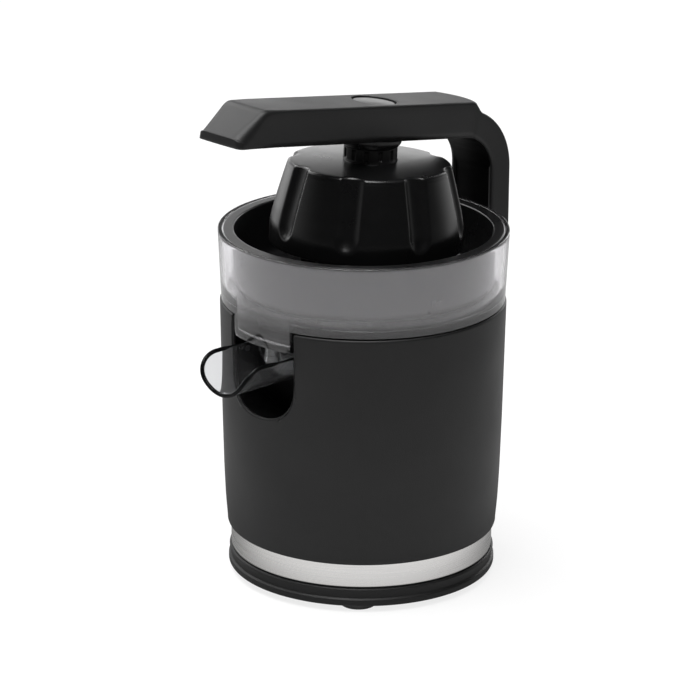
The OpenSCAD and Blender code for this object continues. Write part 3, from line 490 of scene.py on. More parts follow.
def makeBowl():
    # the section swept round the axis; its lower edge drops inside the notch, low + c (1 - sqrt(1 - q^2)) at
    # the two corners. There the columns keep a fixed x, angle = asin(x / r), and the floor sinks to the sump
    # by smooth steps, the same shape for its upper and under side
    zf, half, c, ramp = bowlLow, bowl["apronHalf"], bowl["apronRound"], bowl["ramp"]
    crossAt = np.concatenate([side - ramp * np.array([1, 0.5, 0]) for side in bowl["sumpHalf"]])
    fine = np.concatenate([np.linspace(apronEdge - bowl["crowd"], apronEdge, 10),
                           np.arcsin(crossAt / bowl["outside"]), apronEdge + np.array(bowl["pastEdge"])])
    around = np.linspace(-math.pi, math.pi, bowl["columns"] + 1)[:-1]
    a = np.unique(np.round(np.concatenate([around, fine, -fine]), 6))
    x = np.where(np.abs(a) < bowl["front"], np.abs(bowl["outside"] * np.sin(a)), bowl["outside"])
    inNotch = x <= half + 1e-4
    q = np.clip((x - half + c) / c, 0, 1)
    low = np.where(inNotch, apronZ + c * (1 - np.sqrt(1 - q * q)), zf - bowl["tuck"])
    section, upperEnd = bowlSection()
    hem = np.array([[bowl["hem"], bowl["hemUp"]], *bowl["hemLine"], [bowl["outside"], bowl["hemUp"]]])
    r = np.concatenate([section[:, 0], hem[:, 0]])[None] + 0 * a[:, None]
    hemZ = low[:, None] + np.minimum(hem[:, 1], (zf - low)[:, None])
    z = np.concatenate([section[:, 1][None] + 0 * a[:, None], hemZ], 1)
    isTop, isUnder = np.zeros((2, r.shape[1]), bool)
    isTop[upperEnd + 1:len(section)] = section[upperEnd + 1:, 1] > zf + bowl["floor"] / 2
    isUnder[upperEnd:len(section)] = section[upperEnd:, 1] < zf + bowl["floor"] / 2
    onFloor = isTop & (z < zf + bowl["sinkBelow"])
    for side, inside, start in zip((onFloor, isUnder[None]), bowl["sumpHalf"], bowl["sumpFrom"]):
        share = smoothStep((inside - x) / ramp)[:, None] * smoothStep((r - start) / ramp)
        z = z - (bowlLow - apronZ) * np.where(side, share, 0)
    reach = np.maximum(r, bowl["tubeClear"])
    wide = np.arcsin(half / reach) - apronEdge
    away = np.abs(a)[:, None]
    turn = np.where(inNotch[:, None], np.arcsin(np.minimum(x[:, None], half) / reach),
                    away + wide * (math.pi - away) / (math.pi - apronEdge))
    turn = np.where(r > bowl["hem"] - 0.1, away, turn) * np.sign(a)[:, None]
    gridPiece("bowlWall", "base", polar(r, turn, z), bowlClear, ("juice_bowl",),
              wrapV=True, sharp=40)


# a black ring between body and bowl, painted shadow in their seam, and the short outlet pipe under the sump
seat = dict(inside=76.6, outside=77.9, down=1.2, gap=0.03, clearAngle=0.03, steps=200)
pipe = dict(bore=3.0, tube=4.0, bead=4.5, mouth=4.2, beadLow=0.6, beadHigh=3.9, beadRound=0.3, overlap=0.2,
            long=11.0, back=-67.6, steps=64)


def makeSeamShade():
    # a square section swept round the axis, open at the notch
    start = apronEdge + seat["clearAngle"]
    a = np.linspace(start, 2 * math.pi - start, seat["steps"])[:, None]
    low, high = bodyTop - seat["down"], bowlLow - seat["gap"]
    r = np.array([seat["inside"], seat["outside"], seat["outside"], seat["inside"]])
    # the ring is coloured black as painted shadow of the gap
    gridPiece("seamShadeRing", "base", polar(r, a, np.array([low, low, high, high])), shadeBlack,
              wrapU=False, wrapV=True, caps=True)


def makeOutletPipe():
    # a turned ring moved to the outlet
    high, low = apronZ + pipe["overlap"], apronZ - pipe["long"]
    ring = softLoop([[pipe["tube"], high], [pipe["tube"], low + pipe["beadHigh"] + pipe["beadRound"]],
                     [pipe["bead"], low + pipe["beadHigh"]], [pipe["bead"], low + pipe["beadLow"]],
                     [pipe["mouth"], low], [pipe["bore"], low], [pipe["bore"], high]],
                    [0.1, 0.4, 0.3, 0.3, 0.2, 0.2, 0.1], 4)
    points = turned(ring, pipe["steps"]) + np.array([0, pipe["back"], 0])
    gridPiece("outletPipe", "base", points, pipePaintedLight, wrapV=True)


makeBowl()
makeSeamShade()
makeOutletPipe()
print("bowl made")

# strainer basket: its floor over the body's top, its brim under the bowl's rim; every second slot is shorter
basket = dict(brim=77.0, under=0.15, inside=71.2, floorUp=8, collar=15.2, collarUp=7, wall=1.4, gap=2.2,
              slots=36, slotHalf=1.0, slotOut=59.0, slotIn=(24.0, 30.0), between=6, edge=0.25, edgeAngle=50)


def makeBasket():
    # a sheet turned round the axis; in each slot's sector the columns keep a fixed distance from the slot's
    # middle line, a = atan(half width / r), and the faces between them are left out over the slot's length
    zf, zt = bodyTop + basket["floorUp"], rimTop - basket["under"]
    section = [[basket["brim"], zt], [basket["inside"], zt], [basket["inside"], zf], [basket["collar"], zf],
               [basket["collar"], zf + basket["collarUp"]]]
    line, _, _ = fineLine(softLine(section, [0.9, 6.5, 1.2], 7), basket["gap"])
    r, z = line[:, 0], line[:, 1]
    n, between = basket["slots"], basket["between"]
    period = 2 * math.pi / n
    edge = np.arctan(basket["slotHalf"] / r)
    steps = np.arange(-1, between + 1)
    past = edge + (period - 2 * edge) * (steps[:, None] - 1) / between
    local = np.where(steps[:, None] <= 1, steps[:, None] * edge, past)
    a = (np.arange(n)[:, None, None] * period + local[None]).reshape(-1, len(r))
    column = np.tile(steps, n)
    first = np.repeat(np.where(np.arange(n) % 2, basket["slotIn"][1], basket["slotIn"][0]), len(steps))
    middle = (r[:-1] + r[1:]) / 2
    onFloor = np.abs(z[:-1] - zf) + np.abs(z[1:] - zf) < 0.01
    cut = (column < 1)[:, None] & onFloor & (middle > first[:, None]) & (middle < basket["slotOut"])
    piece = gridPiece("strainer", "base", polar(r, a, z), finishes["basket_plastic"],
                      ("filter_basket",), keep=~cut, sharp=meshing["smooth"])
    addWall(piece, basket["wall"])
    addBevel(piece, basket["edge"], 2, basket["edgeAngle"])


makeBasket()
print("basket made")

# reamer cone: outer and inner outline as (radius, height over its foot)
reamer = dict(footUp=15.5, gap=1.6, steps=300, ribs=10, ribHeight=2.2, ribWidth=0.16, ribSharp=1.3,
              ribFrom=2.5, ribGrow=6, ribTo=51, ribFade=8, ribRoot=6,
              outside=[[33.2, 0], [36.6, 0], [36.6, 1.6], [34.6, 3.2], [32, 10], [27.4, 21], [21, 32],
                       [13.5, 41.5], [6, 48], [pole, 50.6]],
              inside=[[pole, 46], [14, 37], [24, 21], [33.2, 0]])


def makeReamer():
    # turned outline plus ribs: r = outline + height * (1 - |b| / width)^sharp for the angle b from the
    # nearest rib, and the ribs grow over the foot and fade towards the tip
    outline = softLine(reamer["outside"], [0.5, 0.8, 2, 5, 8, 8, 8, 7], 6)
    line, _, _ = fineLine(outline, reamer["gap"])
    inner = softLine(reamer["inside"], [4, 4], 5)
    a = roundCircle(reamer["steps"])
    pitch = 2 * math.pi / reamer["ribs"]
    b = np.abs((a + pitch / 2) % pitch - pitch / 2)
    crest = np.clip(1 - b / reamer["ribWidth"], 0, 1) ** reamer["ribSharp"]
    grow = np.clip((line[:, 1] - reamer["ribFrom"]) / reamer["ribGrow"], 0, 1)
    fade = np.clip((reamer["ribTo"] - line[:, 1]) / reamer["ribFade"], 0, 1)
    r = line[:, 0] + reamer["ribHeight"] * crest * grow * fade * np.clip(line[:, 0] / reamer["ribRoot"], 0, 1)
    r = np.hstack([r, inner[:, 0] + 0 * a])
    z = bodyTop + reamer["footUp"] + np.concatenate([line[:, 1], inner[:, 1]])
    gridPiece("reamerCone", "cone", polar(r, a, z), finishes["basket_plastic"], ("reamer",),
              sharp=50)


makeReamer()
print("reamer made")

# press dome: depths below its top plane, flute radius and depth into the wall, turn in degrees
dome = dict(sideDown=(0, 8, 16, 24, 33, 35.5, 60), sideRadius=(44.8, 47.05, 49.2, 51.3, 53.2, 53.4, 53.4),
            sideBlend=1.5, wall=2.4, height=45.0, topUp=0.8, crown=1.8, rim=2.0, edgeDown=0.5, underRim=0.4,
            lip=1.2, roof=3.6, tip=0.001, steps=640, clearOf=40,
            flutes=8, fluteTurn=-10.7, fluteRadius=8.6, fluteDepth=3.2, fluteEnd=37.6, soft=0.65, scoop=1.1)


def domeRadius(d):
    # the side line, averaged over a little depth each way
    shifts = np.linspace(-dome["sideBlend"], dome["sideBlend"], 5)
    return np.mean([np.interp(d + k, dome["sideDown"], dome["sideRadius"]) for k in shifts], axis=0)


def fluted(r0, d, a, grow=0.0):
    # a round flute's middle lies outside the wall at C, so the wall is softmin(r0, C cos b - sqrt(f^2 -
    # (C sin b)^2)) for the angle b from it; near its lower end the flute radius f shrinks as a long ball's
    # does. Grow is the wall that is added for the inner side
    turn = 2 * math.pi / dome["flutes"]
    b = (a - math.radians(dome["fluteTurn"]) + turn / 2) % turn - turn / 2
    off = dome["fluteRadius"] - dome["fluteDepth"]
    centre = domeRadius(d) + off
    low = dome["fluteEnd"] - dome["scoop"] * math.sqrt(dome["fluteRadius"] ** 2 - off ** 2)
    f2 = (dome["fluteRadius"] + grow) ** 2 - (np.clip(d - low, 0, None) / dome["scoop"]) ** 2
    inside = f2 - (centre * np.sin(b)) ** 2
    groove = centre * np.cos(b) - np.sqrt(np.clip(inside, 0, None))
    groove = np.where((inside > 0) & (f2 > 0), groove, r0 + dome["clearOf"])
    k = dome["soft"]
    return -k * np.logaddexp(-r0 / k, -groove / k)


def makeDome():
    # rows from the middle of the top out to its rounded rim, down the fluted outside, round the lip, up the
    # inside and back to the middle; the top is crowned by crown * (1 - (r / top radius)^2)
    a = roundCircle(dome["steps"])
    rim, w, topUp, tip = dome["rim"], dome["wall"], dome["topUp"], dome["tip"]
    edgeAt, foot = dome["edgeDown"], dome["height"] - dome["lip"]
    edge = fluted(domeRadius(edgeAt) + 0 * a, edgeAt + 0 * a, a)
    q = np.linspace(0, math.pi / 2, 7)[None]
    disc = np.linspace(tip, 1, 22)[None] ** 0.8
    outerD = np.linspace(rim - topUp + dome["underRim"], foot, 60)[None] + 0 * a
    innerD = np.linspace(foot, dome["roof"], 40)[None] + 0 * a
    lip = np.array([[0, 0.6], [-0.35, 1.05], [-1.1, dome["lip"]], [-w + 0.5, 1.1], [-w, 0.6]])
    innerR = fluted(domeRadius(innerD) - w, innerD, a, w)
    back = np.linspace(1, tip, 12)[None]
    r = np.hstack([disc * (edge - rim), edge - rim + rim * np.sin(q), fluted(domeRadius(outerD), outerD, a),
                   domeRadius(foot) + lip[:, 0][None] + 0 * a, innerR, back * (innerR[:, -1:] - 1)])
    h = np.hstack([topUp + 0 * disc + 0 * a, topUp - rim + rim * np.cos(q) + 0 * a, -outerD,
                   -(foot + lip[:, 1])[None] + 0 * a, -innerD, topUp - w + 0 * back + 0 * a])
    crowned = disc.shape[1] + q.shape[1]
    h[:, :crowned] += dome["crown"] * (1 - (r[:, :crowned] / dome["sideRadius"][0]) ** 2)
    gridPiece("domeBell", "arm", polar(r, a, h), finishes["dome_plastic"], ("press_dome",),
              place=domePlace, sharp=60)


# neck of the dome on a flare, with sunk slots: radii, heights over the dome's top plane, turn in degrees
hub = dict(neck=14.7, flare=17.3, flareFoot=0.9, plug=15, top=10.4, down=1.4, slots=12, slotTurn=8,
           slotHalf=1.1, slotDeep=0.9, slotFrom=4, slotTo=9, wallFrom=13, softSide=0.12, softEnd=0.15,
           gap=0.5, steps=480)


def makeHub():
    # r = profile - depth * window(angle) * window(height), where a window's edges are 1 / (1 + e^(t / soft))
    neck, flare, foot = hub["neck"], hub["flare"], hub["flareFoot"]
    plug, top, low = hub["plug"], hub["top"], -hub["down"]
    corners = [[pole, low], [plug, low], [plug, foot], [flare, foot], [flare - 0.1, foot + 0.4],
               [neck + 0.6, foot + 1], [neck, foot + 2.5], [neck, top - 0.3], [neck - 0.4, top], [pole, top]]
    profile, _, _ = fineLine(softLine(corners, [0.2, 0.1, 0.1, 0.4, 1.2, 1.6, 0.3, 0.3], 6), hub["gap"])
    r, z = profile[:, 0][None], profile[:, 1][None]
    a = roundCircle(hub["steps"])
    pitch = 2 * math.pi / hub["slots"]
    b = np.abs((a - math.radians(hub["slotTurn"]) + pitch / 2) % pitch - pitch / 2) * neck
    across = 1 / (1 + np.exp((b - hub["slotHalf"]) / hub["softSide"]))
    upward = 1 / (1 + np.exp((hub["slotFrom"] - z) / hub["softEnd"]))
    downward = 1 / (1 + np.exp((z - hub["slotTo"]) / hub["softEnd"]))
    r = r - hub["slotDeep"] * across * upward * downward * (r > hub["wallFrom"])
    gridPiece("hubNeck", "arm", polar(r, a, z), neckBlack, ("dome_hub",), place=domePlace,
              sharp=40)


# latch collar between neck and arm
collar = dict(bore=9.6, foot=15.0, footOut=0.5, footUp=0.6, radius=16.7, wideUp=2.9, low=10.5, high=16,
              gap=0.02, steps=200)


def armUnderside(y):
    # height of the arm's underside over a point of the dome's frame: y is put in the equation of its plane
    square = np.array([0, math.sin(armTilt), math.cos(armTilt)])
    away = np.array([0, 0, armHeight]) - domePlace(np.zeros(3))
    along = np.array([0, math.cos(domeTilt), -math.sin(domeTilt)])
    up = np.array([0, math.sin(domeTilt), math.cos(domeTilt)])
    return (away @ square - y * (along @ square)) / (up @ square) - collar["gap"]


def makeCollar():
    # turned in the dome's frame, its upper part stretched in proportion until it meets the arm's underside
    radius, bore, low, high = collar["radius"], collar["bore"], collar["low"], collar["high"]
    foot = collar["foot"]
    profile = softLine([[bore, low], [foot, low], [foot + collar["footOut"], low + collar["footUp"]],
                        [radius, low + collar["wideUp"]], [radius, high]], [0.3, 0.6, 1.2], 5)
    a = roundCircle(collar["steps"])
    grow = np.clip((profile[:, 1] - low) / (high - low), 0, 1)
    z = profile[:, 1] + (armUnderside(-radius * np.cos(a)) - high) * grow
    r = np.hstack([profile[:, 0] + 0 * a, bore + 0 * a, bore + 0 * a])
    z = np.hstack([z, armUnderside(-bore * np.cos(a)), low + 0 * a])
    gridPiece("neckCollar", "arm", polar(r, a, z), lipBlack, ("latch_collar",),
              place=domePlace, wrapV=True, sharp=40)


makeDome()
makeHub()
makeCollar()
print("dome made")

# press arm: along runs from the drive axis to the rear, across from the middle, up from the underside
arm = dict(half=16.85, nose=107.3, thick=15.5, cover=4.6, gap=4.1, legThin=1.5, legEnd=11, inner=23.0,
           outer=38.0, outerDown=0.04, draft=0.1, skin=2.4, bendSteps=26, legSteps=18,
           # nose slope and top; the step down to the bend, from the bend's middle and the cover's foot
           slope=16.4, lip=4.8, lipOut=0.6, noseGap=1.3, slopeEnd=-55, topFrom=-80,
           step=((1, 4.6), (3.7, 4.6), (9.1, -1.05), (12.5, -2.35)), bendFrom=(11.6, -1.9),
           # underside: share of the nose line and distance from the nose, then how it follows the top
           under=((0, 6), (0.15, 9), (1, 33)), underTop=34, underSlope=-52, beyond=200.0,
           # edge radii along the arm, and how nose and rear edge are bowed in plan
           noseEdge=7.0, kneeEdge=3.2, topEdge=1.5, edgeAt=(17, 30), edgeLast=80, mostEdge=0.48,
           bow=420.0, bowLong=62, bowFade=0.7, rearBow=5.5, rearLong=34, rearEnd=14, rearFade=7,
           # button well
           buttonAt=4.1, rings=(2.0, 4.0, 6.0, 8.0, 10.0, 11.6, 12.35), well=12.6, wellDeep=3.2,
           wellEdge=0.12, square=14.0, around=16)


def flat(s, n):
    # a point of the arm's side view, s along and n up, as (y, z) on the table
    c, t = math.cos(armTilt), math.sin(armTilt)
    return np.stack([s * c + n * t, armHeight - s * t + n * c], -1)


def arc(centre, radius, start, stop, steps):
    a = np.linspace(start, stop, steps)
    return np.stack([centre[0] + radius * np.cos(a), centre[1] + radius * np.sin(a)], -1)


def bendCentre(y, radius, up):
    # middle of a bend that ends on the vertical at y and on the line that is up over the underside
    at = y - radius
    return np.array([at, armHeight + (up - radius - at * math.sin(armTilt)) / math.cos(armTilt)])


def armLines(rings):
    # two matched lines in side view: the outer one over the nose, the top, the step and down the leg, the
    # inner one along the underside, with as many points in each part; also each point's place along the arm
    c, t, front, thick = math.cos(armTilt), math.sin(armTilt), -arm["nose"], arm["thick"]
    top, at = thick + arm["cover"], arm["buttonAt"]
    legIn = hingeAt[0] - arm["gap"]
    legOut, footZ = legIn + thick - arm["legThin"], hingeAt[1] + arm["legEnd"]
    mid = bendCentre(legOut, arm["outer"], thick - arm["outerDown"])
    inn = bendCentre(legIn, arm["inner"], 0)
    sOut, sIn = (centre[0] * c - (centre[1] - armHeight) * t for centre in (mid, inn))
    slope = softLine([[front, 0], [front - arm["lipOut"], arm["lip"]], [front + arm["slope"], top],
                      [arm["slopeEnd"], top]], [0.5, 3.2], 9)
    nose, _, _ = fineLine(slope[:-1], arm["noseGap"])
    stepAt = np.array(arm["step"]) + [sOut, thick]
    onTop = np.concatenate([np.linspace(arm["topFrom"], at - arm["around"], 14), at + rings,
                            np.linspace(at + arm["around"], stepAt[0, 0], 12)])
    step = softLine(stepAt, [1.2, 2.2], 6)[1:-1]
    bendY, bendZ = flat(*np.add(arm["bendFrom"], (sOut, thick))) - mid
    bend = arc(mid, arm["outer"], math.atan2(bendZ, bendY), 0, arm["bendSteps"])
    legs = [np.stack([y + np.zeros(arm["legSteps"]), np.linspace(z, footZ, arm["legSteps"] + 1)[1:]], -1)
            for y, z in ((legOut, mid[1]), (legIn, inn[1]))]
    outer = np.vstack([flat(*nose.T), flat(onTop, top), flat(*step.T), bend, legs[0]])
    noseIn = front + np.interp(np.linspace(0, 1, len(nose)), *np.transpose(arm["under"]))
    topIn = np.interp(onTop, [arm["topFrom"], arm["slopeEnd"], stepAt[0, 0]],
                      [front + arm["underTop"], arm["underSlope"], sIn])
    bendIn = arc(inn, arm["inner"], math.pi / 2 - armTilt, 0, len(step) + arm["bendSteps"] + 1)[1:]
    inner = np.vstack([flat(noseIn, 0), flat(topIn, 0), bendIn, legs[1]])
    rest = np.full(arm["bendSteps"] + arm["legSteps"], arm["beyond"])
    return outer, inner, np.concatenate([nose[:, 0], onTop, step[:, 0], rest]), sOut


def sinkWell(x, yz, along, d):
    # button well: the rings round it grow from circles into squares, and those inside it sink
    top, well, at, square = arm["thick"] + arm["cover"], arm["well"], arm["buttonAt"], arm["square"]
    ds = along - at + 0 * x
    far = np.maximum(np.abs(x), np.abs(ds))
    w = np.clip((far - well) / (square - well), 0, 1)
    mix = (1 - w) * far / np.maximum(np.hypot(x, ds), 1e-9) + w
    inWell = (far < square + 0.01) & (d == 0)
    sink = np.where(far < well - 0.03, arm["wellDeep"], np.where(far < well + 0.1, arm["wellEdge"], 0.0))
    sunk = flat(np.where(inWell, ds * mix + at, 0), top - sink)
    return np.where(inWell, x * mix, x), np.where(inWell[..., None], sunk, yz)


def makeArm():
    # each section runs up one side from the inner to the outer line, over and down; its corners are quarter
    # circles whose radius follows the station: (r - r cos q, r - r sin q)
    well, front, half = arm["well"], -arm["nose"], arm["half"]
    ring = np.array([*arm["rings"], well - 0.06, well, well + 0.35, arm["square"]])
    rings = np.concatenate([-ring[::-1], [0], ring])
    outer, inner, along, sOut = armLines(rings)
    along = along[:, None]
    edges = [arm["noseEdge"], arm["kneeEdge"], arm["topEdge"], arm["topEdge"]]
    rad = np.interp(along, [front, *(front + at for at in arm["edgeAt"]), arm["edgeLast"]], edges)
    deep = np.linalg.norm(inner - outer, axis=1)[:, None]
    way = (inner - outer) / deep
    rad = np.minimum(rad, arm["mostEdge"] * deep)
    q = np.linspace(0, math.pi / 2, 8)[None, 1:]
    k = np.linspace(1, 0, 6)[None]
    halfIn = np.hstack([rad + (deep - rad) * k, rad - rad * np.sin(q)])
    halfX = np.hstack([0 * rad * k, rad - rad * np.cos(q)]) - half
    across = rings[None] / (half - arm["topEdge"]) * (half - rad)
    x = np.hstack([halfX, across, -halfX[:, ::-1]])
    d = np.hstack([halfIn, 0 * across, halfIn[:, ::-1]])
    yz = outer[:, None] + way[:, None] * d[..., None]
    # the nose is bowed in plan, back by x^2 / bow and fading along the arm; the rear edge swells back
    fade = np.clip((front + arm["bowLong"] - along) / arm["bowLong"], 0, 1) ** arm["bowFade"]
    rear = np.clip((along - sOut) / arm["rearLong"] + 1, 0, 1) ** 2
    rear = rear * np.clip((sOut + arm["rearEnd"] - along) / arm["rearFade"], 0, 1)
    shift = x * x / arm["bow"] * fade + arm["rearBow"] * rear * (1 - (x / half) ** 2)
    yz = yz + shift[..., None] * np.array([math.cos(armTilt), -math.sin(armTilt)])
    # the sides lean in towards the underside
    x = x * (1 - arm["draft"] * d / (arm["thick"] + arm["cover"]))
    x, yz = sinkWell(x, yz, along, d)
    points = np.concatenate([x[..., None], yz], -1)
    piece = gridPiece("armSkin", "arm", points, armBlack, ("arm_shell", "arm_top_cover"),
                      wrapU=False, sharp=50)
    addWall(piece, arm["skin"])


makeArm()
# the arm's inner cover is black plastic; its darker, glossless finish adds painted shade
softened("armLining", "arm_inner_cover", "arm", shadeBlack, 0.3, 2)

# release button: a crowned disc on its stem, heights over the arm's underside
button = dict(radius=11.6, top=19.3, crown=0.6, thick=1.7, neck=6.6, neckHigh=13, neckLow=11.2, stem=3.5,
              stemLow=1.8, gap=0.7, steps=160)


def makeButton():
    # turned about the press axis
    top, radius = button["top"], button["radius"]
    corners = [[pole, top + button["crown"]], [6, top + 0.5], [11.0, top + 0.15], [radius, top - 0.1],
               [radius, top - button["thick"]], [button["neck"], button["neckHigh"]],
               [button["neck"], button["neckLow"]], [button["stem"], button["neckLow"]],
               [button["stem"], button["stemLow"]], [pole, button["stemLow"]]]
    line, _, _ = fineLine(softLine(corners, [3, 0.5, 0.4, 0.3, 0.2, 0.2, 0.1, 0.3], 6), button["gap"])
    points = turned(line, button["steps"]) + np.array([0, arm["buttonAt"], 0])
    gridPiece("pressDisc", "button", points, finishes["satin_disc"], ("release_button",),
              place=armPlace, sharp=35)


makeButton()
print("arm made")

# pouring spout: depths below the body's top, distances in front of the drive axis, pin ends from the middle
spout = dict(radius=19.8, wall=1.8, middleDown=14.1, edgeDown=15.7, front=104.7, back=60.0, nose=13.0,
             bead=1.15, beadRear=0.45, beadFrom=80.0, beadGrow=6.0, endGap=0.85, endAngle=1.49,
             pinRadius=1.8, pinFrom=19.6, pinTo=26.1)
spoutMiddle = bodyTop - spout["middleDown"]


def makeSpout():
    # a half pipe whose upper edge falls as a quarter circle near the nose; the section angle runs from edge
    # to edge
    zc, zt, nose = spoutMiddle, bodyTop - spout["edgeDown"], spout["nose"]
    r, noseFrom = spout["radius"] - spout["wall"] / 2, spout["front"] - nose
    y = np.concatenate([np.linspace(spout["back"], noseFrom, 14)[:-1],
                        noseFrom + nose * np.sin(np.linspace(0, math.pi / 2, 26))])
    reach = np.clip(y - noseFrom, 0, nose)
    edgeZ = zt - nose + np.sqrt(nose ** 2 - reach ** 2)
    edgeA = np.arccos(np.clip((zc - edgeZ) / r, -1, 1))[:, None]
    q = np.linspace(-1, 1, 61)[None] * edgeA
    points = np.stack([r * np.sin(q), -y[:, None] + 0 * q, zc - r * np.cos(q)], -1)
    piece = gridPiece("spoutTrough", "spout", points, finishes["clear_plastic"], ("spout",),
                      wrapU=False, sharp=meshing["smooth"])
    addWall(piece, spout["wall"], 0.0)
    makeBead(np.vstack([points[1:, 0], points[-1, 1:-1], points[1:, -1][::-1]]))


def makeBead(rim):
    # a small circle carried round the trough's free edge, in the plane square to it, thinner under the bowl
    line, _, _ = fineLine(rim, 0.8)
    ahead = np.gradient(line, axis=0)
    ahead /= np.linalg.norm(ahead, axis=1)[:, None]
    out = line - np.stack([0 * line[:, 0], line[:, 1], 0 * line[:, 0] + spoutMiddle], 1)
    out -= (out * ahead).sum(1)[:, None] * ahead
    out /= np.linalg.norm(out, axis=1)[:, None]
    third = np.cross(ahead, out)
    t = roundCircle(12)[None]
    grow = np.clip((-line[:, 1] - spout["beadFrom"]) / spout["beadGrow"], 0, 1)[:, None, None]
    bead = spout["beadRear"] + (spout["bead"] - spout["beadRear"]) * grow
    tube = line[:, None] + bead * (np.cos(t) * out[:, None] + np.sin(t) * third[:, None])
    gridPiece("spoutRim", "spout", tube, rimShadeClear, wrapU=False, wrapV=True, caps=True,
              sharp=60)


def makeSpoutEnds():
    # rear wall: the trough's round section as a slab; pins: short turned rods laid along x
    r = spout["radius"] - spout["wall"] / 2 - spout["endGap"]
    q = np.linspace(-spout["endAngle"], spout["endAngle"], 41)
    y = -np.array([spout["back"], spout["back"] + spout["wall"]])[:, None] + 0 * q
    slab = np.stack([r * np.sin(q) + 0 * y, y, spoutMiddle - r * np.cos(q) + 0 * y], -1)
    gridPiece("spoutBack", "spout", slab, finishes["clear_plastic"], wrapU=False, wrapV=True,
              caps=True)
    radius, start, stop = spout["pinRadius"], spout["pinFrom"], spout["pinTo"]
    rod = turned(softLine([[pole, start], [radius, start], [radius, stop], [pole, stop]], 0.25), 32)
    for name, side in (("pinLeft", -1), ("pinRight", 1)):
        laid = np.stack([side * rod[..., 2], rod[..., 0] + pivotAt[0], rod[..., 1] + pivotAt[1]], -1)
        gridPiece(name, "spout", laid, finishes["clear_plastic"])


makeSpout()
makeSpoutEnds()
print("spout made")

# copies of the bracket and the notch's liner with softer edges
softened("hingeYoke", "hinge_bracket", "base", lipBlack, 0.4, 2)
# the notch's liner darkened further as painted shade in the recess
softened("notchLiner", "spout_recess", "base", shadeBlack, 0.3, 2, 60)

# camera: degrees, metres from the aim, the aim's height in mm, lens in mm, shift as a share of the width
look = dict(azimuth=46.3, elevation=18.71, distance=2.0, aim=126.0, lens=185.66, roll=0.46,
            shift=-0.018285714)

# what mirror rays see: spans of distance in metres or of direction, each with the light at its two ends
studio = dict(floorWhite=0.8, floorColour=(0.9, 0.9, 0.9, 1), floorHalf=9, floorSkew=0.045,
              floorFootShadow=(0.085, 0.185, 0.35, 1.0), floorFar=(0.45, 0.92, 1.0, 0.3),
              floorSide=(-0.7, 0.4, 0.7, 1.0), backFrom=(1.0, 1.7, 0.0, 1.2),
              backSide=(-0.62, -0.3, 1.0, 0.0), backTurn=-10.0, worldDark=(-0.57, 0.3, 0.95, 0.08),
              darkTurn=14.0, worldHigh=(0.13, 0.31, 1.0, 0.15), worldFill=0.45)

# lamps: metres to the camera's right, towards the camera and up from the object, size and power
lampAim = 0.15
lamps = {
    "leftSoftbox": (-1.1, -1.15, 0.35, (0.5, 0.9), 1.6),
    "rightSoftbox": (0.8, -1.35, 0.35, (0.35, 0.9), 4.0),
    "overSoftbox": (-0.22, 0.28, 1.4, (1.1, 0.8), 28),
    "foldSoftbox": (-0.6, -1.25, 1.0, (0.7, 0.5), 5.0),
    "backSoftbox": (-0.2, -1.6, 0.25, (1.0, 0.22), 1.4),
    "topSoftbox": (-1.05, -0.65, 1.3, (1.1, 1.1), 11),
}


def makeFloor():
    # the camera and clear parts see it nearly white, mirror rays see a glow shaped like a studio sweep, with
    # painted shadow round the object's foot
    mesh = bpy.data.meshes.new("floor")
    w = studio["floorHalf"]
    mesh.from_pydata([(-w, -w, 0), (w, -w, 0), (w, w, 0), (-w, w, 0)], [], [(0, 1, 2, 3)])
    floor = bpy.data.objects.new("floor", mesh)
    bpy.context.scene.collection.objects.link(floor)
    mat = bpy.data.materials.new("pale floor")
    mat.use_nodes = True
    tree = mat.node_tree
    add, join = tree.nodes.new, tree.links.new
    tree.nodes.remove(tree.nodes["Principled BSDF"])
    path, where = add("ShaderNodeLightPath"), add("ShaderNodeTexCoord")
    through = path.outputs["Is Transmission Ray"]
    seen = mathNode(tree, "MAXIMUM", path.outputs["Is Camera Ray"], through)
    mirror = mathNode(tree, "SUBTRACT", path.outputs["Is Glossy Ray"], through, True)
    # painted shadow at the foot, bright round it, falling off with distance and to the sides, bright again far
    # behind
    length, unit = add("ShaderNodeVectorMath"), add("ShaderNodeVectorMath")
    length.operation, unit.operation = "LENGTH", "NORMALIZE"
    join(where.outputs["Object"], length.inputs[0])
    join(where.outputs["Object"], unit.inputs[0])
    away, aside = length.outputs["Value"], dotNode(tree, unit.outputs["Vector"], 0)
    skewed = mathNode(tree, "ADD", away, mathNode(tree, "MULTIPLY", aside, studio["floorSkew"]))
    # painted shadow of the object on the floor's glow, shifted a little to one side
    near = spanNode(tree, skewed, studio["floorFootShadow"])
    sweep = mathNode(tree, "MULTIPLY", spanNode(tree, away, studio["floorFar"]),
                     spanNode(tree, aside, studio["floorSide"]))
    behind = spanNode(tree, dotNode(tree, unit.outputs["Vector"], studio["backTurn"]), studio["backSide"])
    back = mathNode(tree, "MULTIPLY", spanNode(tree, away, studio["backFrom"]), behind)
    level = mathNode(tree, "MAXIMUM", mathNode(tree, "MULTIPLY", near, sweep), back)
    strength = add("ShaderNodeMix")
    strength.data_type = "FLOAT"
    for socket, source in ((0, mirror), (2, 1.0), (3, level)):
        feed(tree, strength.inputs[socket], source)
    diffuse, glow, mix = add("ShaderNodeBsdfDiffuse"), add("ShaderNodeEmission"), add("ShaderNodeMixShader")
    diffuse.inputs["Color"].default_value = studio["floorColour"]
    glow.inputs["Color"].default_value = (1, 1, 1, 1)
    join(strength.outputs[0], glow.inputs["Strength"])
    plain = mathNode(tree, "MULTIPLY", seen, studio["floorWhite"])
    join(mathNode(tree, "MAXIMUM", plain, mirror), mix.inputs[0])
    join(diffuse.outputs[0], mix.inputs[1])
    join(glow.outputs[0], mix.inputs[2])
    join(mix.outputs[0], tree.nodes["Material Output"].inputs["Surface"])
    mesh.materials.append(mat)


